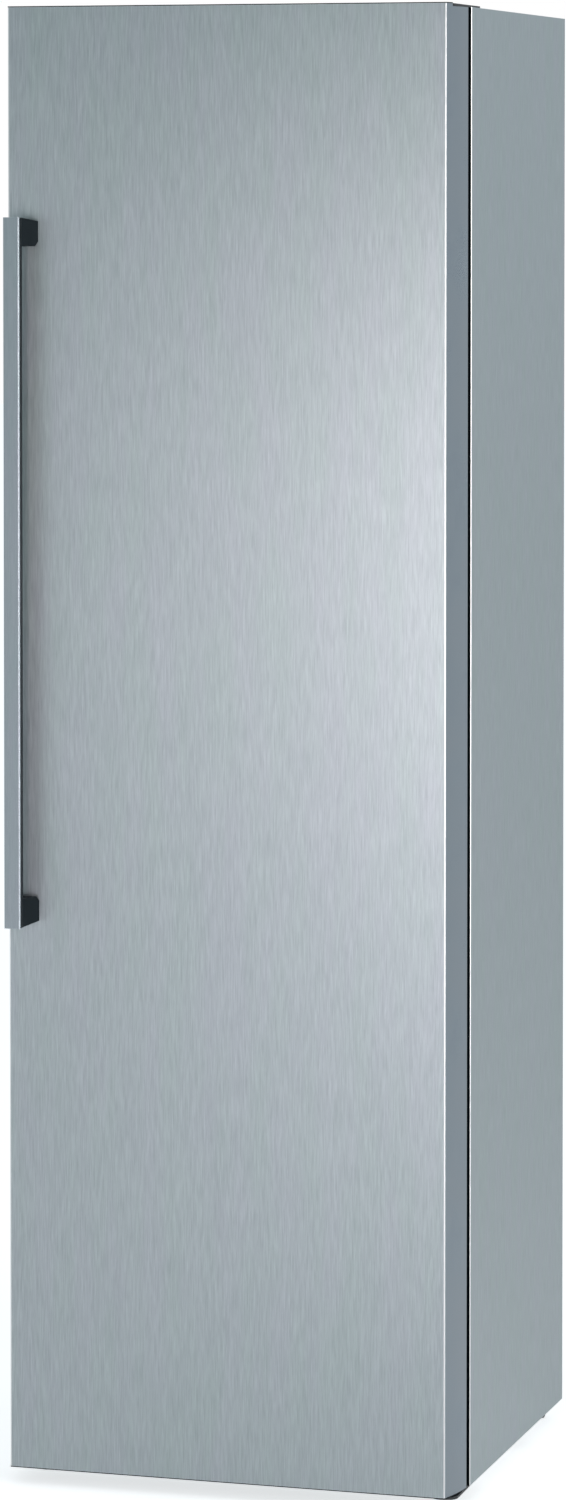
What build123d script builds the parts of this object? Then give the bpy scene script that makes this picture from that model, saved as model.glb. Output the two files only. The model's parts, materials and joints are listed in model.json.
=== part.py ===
from build123d import *
import math
import os

# An upright freezer with one full-height door, hinged on the right.
# Millimetres. +Z is up, the front faces -Y, and +X is the hinge side.
# The origin is the centre of the footprint, on the floor.
# Every cut runs 1 mm past the face that it opens.

# ---- overall sizes ----
overall_width = 595.0
overall_height = 1875.0  # to the door's top
door_above_cabinet = 4.0
ground_clearance = 21.0  # under the cabinet
door_lift = 1.0  # from the cabinet's bottom edge up to the door's
door_thickness = 60.0
door_gap = 18.0  # between the door's back and the cabinet's front, where the gasket is
cabinet_depth = 490.0
rear_space = 32.0  # behind the cabinet, for the condenser
handle_reach = 45.0

# ---- sheets and walls ----
sheet = 0.8
bend_radius = 2.0
rear_flange = 12.0
pan_sheet = 1.0
lid_thickness = 4.0
liner_wall = 2.0
liner_corner = 10.0
seat_gap = 0.3  # between pieces that rest in or beside each other
running_gap = 0.05  # radial, between a pin and its bore
edge_chamfer = 1.0

# ---- insulation, from the outside to the cavity ----
side_wall = 60.0
rear_wall = 63.5
floor_wall = 74.0
roof_wall = 91.0
step_wall = 54.0  # over the compressor bay
step_front_wall = 53.0  # in front of the compressor bay
bay_depth = 207.5

# ---- shelves and drawers ----
upper_drawers = 5
big_drawer_pitch = 300.0
shelf_glass = 4.0
shelf_front_inset = 29.5
shelf_back_gap = 2.0
ledge_reach = 8.0
ledge_height = 6.0
drawer_wall = 2.5
drawer_front_wall = 4.0
drawer_front_overhang = 2.0  # how far the front stands out beside the tub
drawer_front_corner = 4.0
drawer_side_gap = 4.0
drawer_headroom = 6.0
drawer_side_share = 0.8  # how much of the front's height the sides have
drawer_front_inset = 20.5
drawer_rear_gap = 10.0
grip_width = 140.0
grip_reach = 8.0
grip_height = 12.0
grip_drop = 8.0  # below the front's top edge
grip_roof = 3.0
grip_end = 8.0
grip_corner = 6.0

# ---- air duct, evaporator and fan ----
duct_depth = 62.0
duct_cover = 3.0
slot_width = 90.0
slot_height = 6.0
slot_pitch = 12.0
slot_rows = 3
slot_x = 130.0
slot_drop = 45.0  # below each drawer's ceiling
guard_rows = 7
fin_count = 31
fin_thickness = 1.0
fin_depth = 40.0
fin_side_margin = 45.0  # from the cavity's side to the last fin
coil_from_cover = 31.0
coil_runs = 8
coil_pitch = 40.0
coil_tube_radius = 4.0
coil_turn_reach = 22.0  # from the last fin to the turns
end_plate_offset = 6.0  # from the last fin
end_plate_thickness = 2.0
heater_radius = 3.5
heater_above_step = 22.0
heater_spacing = 20.0
heater_end_inset = 5.0
gutter_side_margin = 25.0
gutter_front_gap = 5.0
gutter_back_gap = 14.0
gutter_height = 10.0
gutter_wall = 1.5
drain_radius = 6.0
drain_before_coil = 2.0
fan_above_step = 500.0
fan_radius = 44.0
fan_hub_radius = 12.0
fan_hub_depth = 16.0
fan_gap = 5.0  # between the motor and the rotor
fan_blades = 5
blade_angle = 35.0
blade_thickness = 1.6
blade_chord = 20.0
blade_root = 3.0  # inside the hub
motor_half = 22.0
motor_depth = 24.0
motor_corner = 8.0
motor_shaft_radius = 2.5
motor_shaft_length = 23.0

# ---- lamp and control strip ----
lamp_half_width = 55.0
lamp_depth = 45.0
lamp_height = 7.0
lamp_from_front = 50.0
lamp_corner = 8.0
fascia_gap = 3.0  # between the gasket and the strip above it
fascia_proud = 4.0
fascia_depth = 10.0
fascia_rounding = 2.0
display_half = (45.0, 16.0)
display_thickness = 1.5
button_half = (7.0, 4.5)
button_proud = 2.0
button_travel = 1.5
button_length = 8.0
button_rounding = 1.0
button_places = {"power_button": -140.0, "freeze_button": 80.0, "temperature_button": 115.0}

# ---- compressor bay ----
compressor_x = -40.0
compressor_from_back = 97.5
compressor_radii = (95.0, 72.0)
compressor_height = 148.0
compressor_rounding = 28.0
compressor_foot = 2.5
compressor_foot_half = (105.0, 62.0)
compressor_foot_corner = 15.0
compressor_neck_share = 0.7
compressor_neck_rise = 5.0
seam_reach = 3.0  # how far the weld seam stands out
seam_height = 5.0
seam_share = 0.6  # how far up the shell it is
stub_radius = 4.0
stub_length = 20.0
stub_above_base = 68.0
discharge_offset = -18.0  # from the compressor's middle, along Y
suction_offset = 17.0
relay_size = (40.0, 64.0, 70.0)
relay_over_seam = 11.2  # from the weld seam's lower edge up to the relay box's top
relay_rounding = 5.0
gland_radius = 9.0
gland_bore_radius = 3.5
gland_length = 14.0
grommet_reach = (88.0, 46.0)
grommet_radius = 12.0
grommet_height = 10.0
carrier_sheet = 1.5
carrier_wall = 22.0
carrier_headroom = 2.0  # between the rollers and the carrier above them
carrier_front_margin = 6.0
carrier_back_inset = 10.5
tray_half = (92.0, 60.0)
tray_height = 30.0
tray_wall = 2.0
tray_corner = 12.0
tray_headroom = 14.7
pipe_radius = 3.0
pipe_bend = 25.0
suction_side_margin = 15.0  # from the cavity's side to the suction pipe
suction_drop = 60.0
suction_tail = 6.0  # how far the coil's first run goes on past the suction pipe
dryer_radius = 9.0
dryer_length = 90.0
dryer_rounding = 5.0
dryer_neck_radius = 3.5
dryer_neck = 15.0
dryer_above_base = 38.0
dryer_from_back = 45.0

# ---- condenser on the rear ----
condenser_tube_radius = 2.4
condenser_pitch = 56.0
condenser_bend = 18.0
condenser_side_margin = 70.0
condenser_top_margin = 240.0
condenser_above_bay = 94.0
condenser_feed = 20.0  # from the turns out to the rising tube
condenser_return = 40.0  # from the turns out to the falling tube
return_under_bay = 6.0
wire_radius = 0.8
wire_spacing = 13.0
wire_margin = 34.0
wire_overhang = 12.0
wire_clearance = 0.05
clip_beside_wires = 5.0
clip_half_width = 6.0
clip_half_height = 8.0
clip_rounding = 4.0
clip_run_low = 2
clip_run_high = 4  # from the top
spacer_inset = 70.0
spacer_half_width = 20.0
spacer_height = 70.0
spacer_drop = 96.0  # below the cabinet's top
spacer_corner = 10.0

# ---- feet and rollers ----
foot_from_side = 30.0
foot_behind_front = 12.5
foot_pad_radius = 10.0
foot_pad_height = 9.0
foot_stem_radius = 5.0
foot_stem_length = 41.0
foot_socket_radius = 9.0
foot_socket_height = 36.0
roller_radius = 13.0
roller_width = 14.0
roller_inset = 24.5
roller_from_back = 30.5
roller_side_gap = 0.5
axle_radius = 3.0
axle_overhang = 1.0
ear_thickness = 2.0
ear_half_length = 10.0
ear_below_axle = 6.0
ear_rounding = 5.0

# ---- door ----
trim_bulge = 12.0
trim_bow_out = 0.58  # where the trim's curve passes, as a share of its bulge
trim_bow_back = 0.45  # and as a share of the door's thickness
trim_wall = 2.5
trim_back_wall = 3.0
trim_back_leg = 15.0
skin_return = 12.0
skin_edge_radius = 1.2
cap_plate = 1.2
cap_plug = 20.0
door_pad_rise = 3.0
door_pad_inset = 12.0
gasket_inner = 6.0  # from the cavity's mouth out to the gasket
gasket_width = 20.0
gasket_foot = 3.0
gasket_foot_inset = 1.0
gasket_waist_inset = 5.0
gasket_lip = 6.0
gasket_corner = 6.0

# ---- hinges ----
hinge_inset = 20.0  # from the cabinet's side to the pin
hinge_back = 28.0  # from the door's back to the pin
hinge_pin_radius = 4.0
hinge_bush_radius = 7.0
hinge_bush_height = 14.0
hinge_pin_short = 1.0  # how far the pin stops short of the bush's end
hinge_boss_wall = 2.5
hinge_recess_depth = 4.8
hinge_recess_front = 15.0  # from the door's front to the recess
hinge_recess_side = 4.0  # beside the plate
hinge_plate_length = 78.0  # behind the cabinet's front
top_hinge_nose = 10.0
top_hinge_plate = 3.4
top_hinge_wing = 46.0  # from the pin towards the middle
top_hinge_wing_start = 26.0
top_hinge_wing_cut = 26.0
bottom_hinge_nose = 20.0
bottom_hinge_plate = 3.0
bottom_hinge_edge = 2.0  # inside the cabinet's side
bottom_hinge_flare = 10.0
screw_radius = 2.0
screw_length = 18.0
screw_head_radius = 4.5
screw_head_height = 2.5
hexagon_head_height = 3.0
top_screws = [(-2.0, 18.0), (-2.0, 62.0), (-34.0, 40.0)]  # from the pin, and behind the front
bottom_screws = [(-12.0, 38.0), (-12.0, 62.0)]

# ---- handle ----
handle_left_inset = 9.0  # from the door front's left edge
handle_width = 21.0
handle_face = 3.0
handle_core_depth = 11.0
handle_core_inset = 0.5
handle_top_drop = 265.0  # below the door's top
handle_length = 894.0
bracket_height = 36.0
bracket_flare = 11.0
bracket_slope = 4.5
bracket_left_inset = 3.5
bracket_right_inset = 1.0
bracket_chamfer = 6.0

# ---- places worked out from the sizes above ----
half_width = overall_width / 2
total_depth = handle_reach + door_thickness + door_gap + cabinet_depth + rear_space
handle_front_y = -total_depth / 2
door_front_y = handle_front_y + handle_reach
door_back_y = door_front_y + door_thickness
cabinet_front_y = door_back_y + door_gap
cabinet_back_y = cabinet_front_y + cabinet_depth
rear_y = cabinet_back_y + rear_space

door_top_z = overall_height
cabinet_top_z = overall_height - door_above_cabinet
cabinet_bottom_z = ground_clearance
door_bottom_z = cabinet_bottom_z + door_lift

inner_half = half_width - sheet
cavity_half = half_width - side_wall
mouth_half = cavity_half + liner_wall
cavity_floor_z = cabinet_bottom_z + floor_wall
cavity_top_z = cabinet_top_z - roof_wall
cavity_back_y = cabinet_back_y - rear_wall
foam_front_y = cabinet_front_y + sheet
foam_back_y = cabinet_back_y - 2 * sheet
foam_top_z = cabinet_top_z - lid_thickness
fascia_bottom_z = cavity_top_z + gasket_inner + gasket_width + fascia_gap
fascia_middle_z = (fascia_bottom_z + foam_top_z) / 2

carrier_bottom_z = 2 * roller_radius + carrier_headroom
compressor_foot_z = carrier_bottom_z + carrier_sheet + grommet_height
compressor_base_z = compressor_foot_z + compressor_foot
compressor_top_z = compressor_base_z + compressor_height
compressor_seam_z = compressor_base_z + compressor_height * seam_share
compressor_y = cabinet_back_y - compressor_from_back
tray_bottom_z = compressor_top_z + seat_gap
bay_top_z = tray_bottom_z + tray_height + tray_headroom + pan_sheet
bay_front_y = cabinet_back_y - bay_depth
step_top_z = bay_top_z + step_wall
step_front_y = bay_front_y - step_front_wall
carrier_front_y = compressor_y - grommet_reach[1] - grommet_radius - carrier_front_margin
carrier_back_y = cabinet_back_y - carrier_back_inset
stub_end_x = compressor_x + compressor_radii[0] + stub_length
stub_z = compressor_base_z + stub_above_base
discharge_y = compressor_y + discharge_offset
suction_y = compressor_y + suction_offset
suction_x = cavity_half - suction_side_margin
drain_tip_z = tray_bottom_z + tray_height / 2

duct_front_y = cavity_back_y - duct_depth
shelf_front_y = cabinet_front_y + shelf_front_inset
shelf_back_y = duct_front_y - shelf_back_gap
upper_pitch = (cavity_top_z - step_top_z - big_drawer_pitch) / upper_drawers
shelf_levels = [step_top_z]
for step in range(upper_drawers):
    shelf_levels.append(step_top_z + big_drawer_pitch + step * upper_pitch)

fin_half_span = cavity_half - fin_side_margin
gutter_half_span = cavity_half - gutter_side_margin
coil_y = duct_front_y + duct_cover + coil_from_cover
heater_z = step_top_z + heater_above_step
coil_bottom_z = heater_z + heater_radius + seat_gap
coil_first_run_z = coil_bottom_z + coil_pitch / 2
coil_top_z = coil_bottom_z + coil_runs * coil_pitch
drain_y = coil_y - drain_before_coil
fan_z = step_top_z + fan_above_step
motor_front_y = cavity_back_y - motor_depth
hub_back_y = motor_front_y - fan_gap
hub_front_y = hub_back_y - fan_hub_depth

condenser_y = rear_y - 2 * wire_radius - wire_clearance - condenser_tube_radius
condenser_half_span = half_width - condenser_side_margin
condenser_bottom_z = bay_top_z + condenser_above_bay
condenser_room = cabinet_top_z - condenser_top_margin - condenser_bottom_z
condenser_runs = 2 * int((condenser_room / condenser_pitch + 1) / 2)
condenser_top_z = condenser_bottom_z + (condenser_runs - 1) * condenser_pitch
wire_count = 2 * int((condenser_half_span - wire_margin) / wire_spacing)
dryer_x = condenser_half_span + condenser_return
dryer_y = cabinet_back_y - dryer_from_back
dryer_bottom_z = compressor_base_z + dryer_above_base
dryer_top_z = dryer_bottom_z + dryer_length + dryer_neck

foot_x = half_width - foot_from_side
foot_y = cabinet_front_y + foot_behind_front
foot_stem_top_z = foot_pad_height + foot_stem_length
foot_socket_top_z = cabinet_bottom_z + foot_socket_height
roller_y = cabinet_back_y - roller_from_back

skin_half = half_width - trim_bulge
skin_bottom_z = door_bottom_z + cap_plate
skin_top_z = door_top_z - cap_plate
door_core_half = half_width - trim_back_leg - seat_gap
door_core_front_y = door_front_y + sheet
door_core_back_y = door_back_y - liner_wall
trim_bow = (skin_half + trim_bulge * trim_bow_out, door_front_y + door_thickness * trim_bow_back)

hinge_x = half_width - hinge_inset
hinge_y = door_back_y - hinge_back
hinge_recess_z = door_top_z - hinge_recess_depth
hinge_boss_radius = hinge_bush_radius + hinge_boss_wall
bottom_hinge_z = cabinet_bottom_z - bottom_hinge_plate
top_screw_tip_z = cabinet_top_z - screw_length
bottom_screw_tip_z = cabinet_bottom_z + screw_length

handle_left_x = -skin_half + handle_left_inset
handle_right_x = handle_left_x + handle_width
handle_back_y = handle_front_y + handle_face + handle_core_depth
handle_top_z = door_top_z - handle_top_drop
handle_bottom_z = handle_top_z - handle_length


# ---- shapes used by many pieces ----


def block(x_range, y_range, z_range):
    """A box between two values along each axis."""
    size = [high - low for low, high in (x_range, y_range, z_range)]
    middle = [(high + low) / 2 for low, high in (x_range, y_range, z_range)]
    return Pos(*middle) * Box(*size)


def upright(radius, x, y, z_range):
    """A vertical cylinder."""
    low, high = z_range
    return Pos(x, y, (low + high) / 2) * Cylinder(radius, high - low)


def along_x(radius, x_range, y, z):
    """A cylinder that lies along X."""
    low, high = x_range
    return Pos((low + high) / 2, y, z) * Rot(0, 90, 0) * Cylinder(radius, high - low)


def along_y(radius, x, y_range, z):
    """A cylinder that lies along Y."""
    low, high = y_range
    return Pos(x, (low + high) / 2, z) * Rot(90, 0, 0) * Cylinder(radius, high - low)


def plan_solid(face, z_range):
    """A plan outline drawn in X and Y, extruded from the first height to the second."""
    low, high = z_range
    return Pos(0, 0, low) * extrude(face, high - low)


def side_solid(points, x_range):
    """An outline of (y, z) points, extruded along X."""
    low, high = x_range
    face = make_face(Polyline(points, close=True))
    placed = Plane(origin=(low, 0, 0), x_dir=(0, 1, 0), z_dir=(1, 0, 0)) * face
    return extrude(placed, high - low, dir=(1, 0, 0))


def pipe(points, radius, bend):
    """A tube, modelled solid, along straight runs joined by arcs."""
    path = FilletPolyline(*points, radius=bend).wire()
    section = Plane(origin=path @ 0, z_dir=path % 0) * Circle(radius)
    return sweep(section, path=path)


def mirrored(shape):
    """The same shape on the other side of the middle."""
    return mirror(shape, about=Plane.YZ)


# ---- cabinet shell ----


def side_panel():
    """The right side: one sheet, folded inwards at the front and the rear."""
    front_flange = side_wall - liner_wall
    inner_edge = half_width - front_flange
    outer = block(
        (inner_edge, half_width),
        (cabinet_front_y, cabinet_back_y),
        (cabinet_bottom_z, cabinet_top_z),
    )
    outer = fillet(outer.edges().filter_by(Axis.Z).sort_by(Axis.X)[-2:], bend_radius)
    hollow = block(
        (inner_edge - 1, inner_half),
        (foam_front_y, cabinet_back_y - sheet),
        (cabinet_bottom_z - 1, cabinet_top_z + 1),
    )
    hollow = fillet(hollow.edges().filter_by(Axis.Z).sort_by(Axis.X)[-2:], bend_radius - sheet)
    rear_opening = block(
        (inner_edge - 1, half_width - rear_flange),
        (cabinet_back_y - sheet - 1, cabinet_back_y + 1),
        (cabinet_bottom_z - 1, cabinet_top_z + 1),
    )
    return outer - hollow - rear_opening


def top_panel():
    """The lid that closes the cabinet between the two sides."""
    half = inner_half - bend_radius
    heights = (foam_top_z, cabinet_top_z)
    lid = block((-half, half), (foam_front_y, cabinet_back_y - sheet), heights)
    edge = block((half, inner_half), (foam_front_y + bend_radius, foam_back_y - bend_radius), heights)
    lid = lid + edge + mirrored(edge)
    for x, y in top_screw_places():
        lid -= upright(screw_radius, x, y, heights)
    return lid


def back_panel():
    """The flat rear sheet, held inside the sides' rear folds."""
    half = inner_half - bend_radius
    return block((-half, half), (foam_back_y, cabinet_back_y - sheet), (bay_top_z, foam_top_z))


def top_front_rail():
    """The steel strip between the cavity's mouth and the control strip."""
    heights = (cavity_top_z + liner_wall, fascia_bottom_z)
    return block((-mouth_half, mouth_half), (cabinet_front_y, foam_front_y), heights)


def bottom_front_rail():
    """The steel strip under the cavity's mouth."""
    heights = (cabinet_bottom_z, cavity_floor_z - liner_wall)
    return block((-mouth_half, mouth_half), (cabinet_front_y, foam_front_y), heights)


def foot_centres():
    return [(-foot_x, foot_y), (foot_x, foot_y)]


def bottom_pan():
    """The folded floor of the cabinet, which steps up over the compressor bay."""
    low = cabinet_bottom_z
    high = cabinet_bottom_z + pan_sheet
    outline = [
        (foam_front_y, low),
        (bay_front_y + pan_sheet, low),
        (bay_front_y + pan_sheet, bay_top_z - pan_sheet),
        (foam_back_y, bay_top_z - pan_sheet),
        (foam_back_y, bay_top_z),
        (bay_front_y, bay_top_z),
        (bay_front_y, high),
        (foam_front_y, high),
    ]
    half = inner_half - bend_radius
    pan = side_solid(outline, (-half, half))
    for x, y in foot_centres():
        pan += upright(foot_socket_radius, x, y, (low, foot_socket_top_z))
        pan -= upright(foot_stem_radius + running_gap, x, y, (low - 1, foot_socket_top_z + 1))
    for x, y in bottom_screw_places():
        pan -= upright(screw_radius, x, y, (low - 1, high + 1))
    return pan - drain_and_suction_holes((low, bay_top_z + 1))


def drain_and_suction_holes(z_range):
    """The two holes from the evaporator's space down to the compressor bay."""
    drain = upright(drain_radius + seat_gap, 0, drain_y, z_range)
    return [drain, upright(pipe_radius + seat_gap, suction_x, coil_y, z_range)]


def liner_block(grow):
    """The cavity's volume, larger by a wall on every side but its mouth."""
    half = cavity_half + grow
    upper = block(
        (-half, half),
        (cabinet_front_y, cavity_back_y + grow),
        (step_top_z - grow, cavity_top_z + grow),
    )
    lower = block(
        (-half, half),
        (cabinet_front_y, step_front_y + grow),
        (cavity_floor_z - grow, step_top_z),
    )
    whole = upper + lower
    inside = [edge for edge in whole.edges() if edge.center().Y > cabinet_front_y + 1]
    across = [edge for edge in inside if abs(edge.center().X) < 1]
    convex = [edge for edge in across if not is_step_edge(edge, grow)]
    return fillet(convex, liner_corner + grow)


def is_step_edge(edge, grow):
    """Whether an edge is the one where the step's top meets its front."""
    middle = edge.center()
    return abs(middle.Z - (step_top_z - grow)) < 1 and abs(middle.Y - (step_front_y + grow)) < 1


def inner_liner():
    """The moulded cavity, with a ledge on each side under every shelf."""
    liner = liner_block(liner_wall) - liner_block(0.0)
    for level in shelf_levels:
        ledge = block(
            (cavity_half - ledge_reach, cavity_half + liner_wall / 2),
            (shelf_front_y, shelf_back_y if level > step_top_z else step_front_y),
            (level - ledge_height, level),
        )
        liner = liner + ledge + mirrored(ledge)
    return liner - drain_and_suction_holes((bay_top_z, step_top_z + 1))


def cabinet_foam():
    """The insulation that fills the space between the outer sheets and the liner."""
    bulk = block(
        (-inner_half, inner_half),
        (foam_front_y, foam_back_y),
        (cabinet_bottom_z + pan_sheet, foam_top_z),
    )
    bulk = fillet(bulk.edges().filter_by(Axis.Z), bend_radius)
    bulk -= liner_block(liner_wall)
    bulk -= block(
        (-half_width, half_width),
        (bay_front_y, cabinet_back_y + 1),
        (cabinet_bottom_z, bay_top_z),
    )
    bulk -= block(
        (-mouth_half, mouth_half),
        (foam_front_y - 1, foam_front_y + fascia_depth),
        (fascia_bottom_z, foam_top_z + 1),
    )
    socket_z = (cabinet_bottom_z, foot_socket_top_z + seat_gap)
    for x, y in foot_centres():
        bulk -= upright(foot_socket_radius + seat_gap, x, y, socket_z)
    for x, y in top_screw_places():
        bulk -= upright(screw_radius, x, y, (top_screw_tip_z, foam_top_z + 1))
    for x, y in bottom_screw_places():
        bulk -= upright(screw_radius, x, y, (cabinet_bottom_z, bottom_screw_tip_z))
    return bulk - drain_and_suction_holes((bay_top_z - 1, step_top_z))


# ---- inside the cavity ----


def glass_shelves():
    """One pane on each pair of ledges."""
    half = cavity_half - seat_gap
    panes = []
    for level in shelf_levels:
        panes.append(block((-half, half), (shelf_front_y, shelf_back_y), (level, level + shelf_glass)))
    return panes


def drawer_bays():
    """The floor, ceiling and rear of the space that each drawer slides in, from the bottom up."""
    bays = [(cavity_floor_z, step_top_z, step_front_y)]
    ceilings = shelf_levels[1:] + [cavity_top_z]
    for level, ceiling in zip(shelf_levels, ceilings):
        bays.append((level + shelf_glass, ceiling, duct_front_y))
    return bays


def drawer(floor_z, ceiling_z, rear_limit):
    """An open tub with a taller front and a grip near the front's top edge."""
    low = floor_z + seat_gap
    front_top = ceiling_z - ledge_height - drawer_headroom
    side_top = low + (front_top - low) * drawer_side_share
    half = cavity_half - drawer_side_gap
    tub_half = half - drawer_front_overhang
    face_y = cabinet_front_y + drawer_front_inset
    tub_front_y = face_y + drawer_front_wall
    tub_back_y = rear_limit - drawer_rear_gap
    tub = block((-tub_half, tub_half), (face_y + drawer_front_wall / 2, tub_back_y), (low, side_top))
    tub = fillet(tub.edges().filter_by(Axis.Z).sort_by(Axis.Y)[-2:], liner_corner)
    hollow = block(
        (-tub_half + drawer_wall, tub_half - drawer_wall),
        (face_y, tub_back_y - drawer_wall),
        (low + drawer_wall, side_top + 1),
    )
    hollow = fillet(hollow.edges().filter_by(Axis.Z).sort_by(Axis.Y)[-2:], liner_corner - drawer_wall)
    front = block((-half, half), (face_y, tub_front_y), (low, front_top))
    front = fillet(front.edges().filter_by(Axis.Y), drawer_front_corner)
    return (tub - hollow) + front + drawer_grip(face_y, front_top)


def drawer_grip(face_y, front_top):
    """The grip: a hood across the middle of a drawer's front, open below."""
    half = grip_width / 2
    top = front_top - grip_drop
    grip = block((-half, half), (face_y - grip_reach, face_y + 1), (top - grip_height, top))
    grip = fillet(grip.edges().filter_by(Axis.Z).sort_by(Axis.Y)[:2], grip_corner)
    return grip - block(
        (-half + grip_end, half - grip_end),
        (face_y - grip_reach + drawer_wall, face_y),
        (top - grip_height - 1, top - grip_roof),
    )


def slot(width, x, z):
    """A cut for one rounded slot through the duct's cover."""
    depth = (duct_front_y - 1, duct_front_y + duct_cover + 1)
    cut = block((x - width / 2, x + width / 2), depth, (z, z + slot_height))
    return fillet(cut.edges().filter_by(Axis.Y), slot_height * 0.48)


def evaporator_cover():
    """The panel in front of the evaporator, with air slots for each drawer and a fan guard."""
    half = cavity_half - seat_gap
    cover = block(
        (-half, half),
        (duct_front_y, duct_front_y + duct_cover),
        (step_top_z + seat_gap, cavity_top_z - seat_gap),
    )
    cuts = []
    for _, ceiling_z, _ in drawer_bays()[1:]:
        for row in range(slot_rows):
            for x in (-slot_x, slot_x):
                cuts.append(slot(slot_width, x, ceiling_z - slot_drop - slot_pitch * row))
    for row in range(guard_rows):
        offset = (row - (guard_rows - 1) / 2) * slot_pitch
        chord = 2 * math.sqrt(fan_radius**2 - offset**2)
        cuts.append(slot(chord, 0.0, fan_z + offset - slot_height / 2))
    return cover - cuts


def evaporator_coil():
    """A serpentine tube through a stack of fins, with two end plates on the rear wall."""
    turn_x = fin_half_span + coil_turn_reach
    points = [(suction_x + suction_tail, coil_y, coil_first_run_z)]
    for run in range(coil_runs):
        z = coil_first_run_z + run * coil_pitch
        side = 1 if run % 2 == 0 else -1
        if run > 0:
            points.append((side * turn_x, coil_y, z))
        points.append((-side * turn_x, coil_y, z))
    coil = pipe(points, coil_tube_radius, coil_pitch / 2 - 0.5)
    heights = (coil_bottom_z, coil_top_z)
    front = coil_y - fin_depth / 2
    fins = []
    for i in range(fin_count):
        x = -fin_half_span + 2 * fin_half_span * i / (fin_count - 1)
        edges = (x - fin_thickness / 2, x + fin_thickness / 2)
        fins.append(block(edges, (front, coil_y + fin_depth / 2), heights))
    for side in (-1, 1):
        x = side * (fin_half_span + end_plate_offset)
        edges = (x - end_plate_thickness / 2, x + end_plate_thickness / 2)
        fins.append(block(edges, (front, cavity_back_y - seat_gap), heights))
    return coil + fins


def defrost_heater():
    """A bent heating rod under the coil."""
    half = fin_half_span - heater_end_inset
    points = [
        (-half, coil_y - heater_spacing / 2, heater_z),
        (half, coil_y - heater_spacing / 2, heater_z),
        (half, coil_y + heater_spacing / 2, heater_z),
        (-half, coil_y + heater_spacing / 2, heater_z),
    ]
    return pipe(points, heater_radius, heater_spacing / 2 - 0.5)


def drain_gutter():
    """The gutter that catches the thaw water, with its tube down to the tray in the bay."""
    front = duct_front_y + duct_cover + gutter_front_gap
    back = cavity_back_y - gutter_back_gap
    half = gutter_half_span
    floor = step_top_z + gutter_wall
    gutter = block((-half, half), (front, back), (step_top_z, step_top_z + gutter_height))
    gutter -= block(
        (-half + gutter_wall, half - gutter_wall),
        (front + gutter_wall, back - gutter_wall),
        (floor, step_top_z + gutter_height + 1),
    )
    gutter += upright(drain_radius, 0, drain_y, (drain_tip_z, floor))
    return gutter - upright(drain_radius - gutter_wall, 0, drain_y, (drain_tip_z - 1, floor + 1))


def fan_motor():
    """The fan's motor on the rear wall, with its shaft towards the front."""
    depth = (motor_front_y, cavity_back_y)
    body = block((-motor_half, motor_half), depth, (fan_z - motor_half, fan_z + motor_half))
    body = fillet(body.edges().filter_by(Axis.Y), motor_corner)
    shaft_range = (motor_front_y - motor_shaft_length, motor_front_y + 1)
    return body + along_y(motor_shaft_radius, 0, shaft_range, fan_z)


def evaporator_fan():
    """The rotor: a hub on the motor's shaft, with twisted blades."""
    length = fan_radius - fan_hub_radius + blade_root
    blade = Rot(blade_angle, 0, 0) * Box(length, blade_thickness, blade_chord)
    blade = Pos(fan_hub_radius - blade_root + length / 2, 0, 0) * blade
    rotor = along_y(fan_hub_radius, 0, (hub_front_y, hub_back_y), fan_z)
    for i in range(fan_blades):
        turn = Rot(0, 360 / fan_blades * i, 0)
        rotor += Pos(0, (hub_front_y + hub_back_y) / 2, fan_z) * turn * blade
    rotor = rotor & along_y(fan_radius, 0, (hub_front_y, hub_back_y), fan_z)
    bore = along_y(motor_shaft_radius + running_gap, 0, (hub_front_y - 1, hub_back_y + 1), fan_z)
    return rotor - bore


def lamp_cover():
    """The lamp's cover on the cavity's ceiling, near the front."""
    front = cabinet_front_y + lamp_from_front
    lens = block(
        (-lamp_half_width, lamp_half_width),
        (front, front + lamp_depth),
        (cavity_top_z - lamp_height, cavity_top_z),
    )
    return fillet(lens.edges().filter_by(Axis.Z), lamp_corner)


# ---- control strip ----


def display_block(y_range):
    """The display's outline, over a depth."""
    x_half, z_half = display_half
    return block((-x_half, x_half), y_range, (fascia_middle_z - z_half, fascia_middle_z + z_half))


def control_panel():
    """The strip above the cavity, with a pocket for the display and one for each button."""
    front = cabinet_front_y - fascia_proud
    depth = (front, foam_front_y + fascia_depth)
    panel = block((-mouth_half, mouth_half), depth, (fascia_bottom_z, foam_top_z))
    panel = fillet(panel.edges().filter_by(Axis.X).sort_by(Axis.Y)[:2], fascia_rounding)
    panel -= display_block((front - 1, front + display_thickness))
    x_half = button_half[0] + seat_gap
    z_half = button_half[1] + seat_gap
    pocket = (front - 1, front + button_length - button_proud + button_travel + 1)
    for x in button_places.values():
        panel -= block((x - x_half, x + x_half), pocket, (fascia_middle_z - z_half, fascia_middle_z + z_half))
    return panel


def display_window():
    """The pane over the temperature display."""
    front = cabinet_front_y - fascia_proud
    return display_block((front, front + display_thickness))


def press_button(x):
    """A push button that moves into the control strip."""
    front = cabinet_front_y - fascia_proud - button_proud
    x_half, z_half = button_half
    cap = block(
        (x - x_half, x + x_half),
        (front, front + button_length),
        (fascia_middle_z - z_half, fascia_middle_z + z_half),
    )
    return fillet(cap.faces().sort_by(Axis.Y)[0].edges(), button_rounding)


# ---- compressor bay ----


def roller_middle(side):
    return side * (half_width - roller_inset)


def axle(side):
    """One roller's fixed pin, through both ears of the carrier."""
    middle = roller_middle(side)
    half = roller_width / 2 + roller_side_gap + ear_thickness + axle_overhang
    return along_x(axle_radius, (middle - half, middle + half), roller_y, roller_radius)


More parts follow.
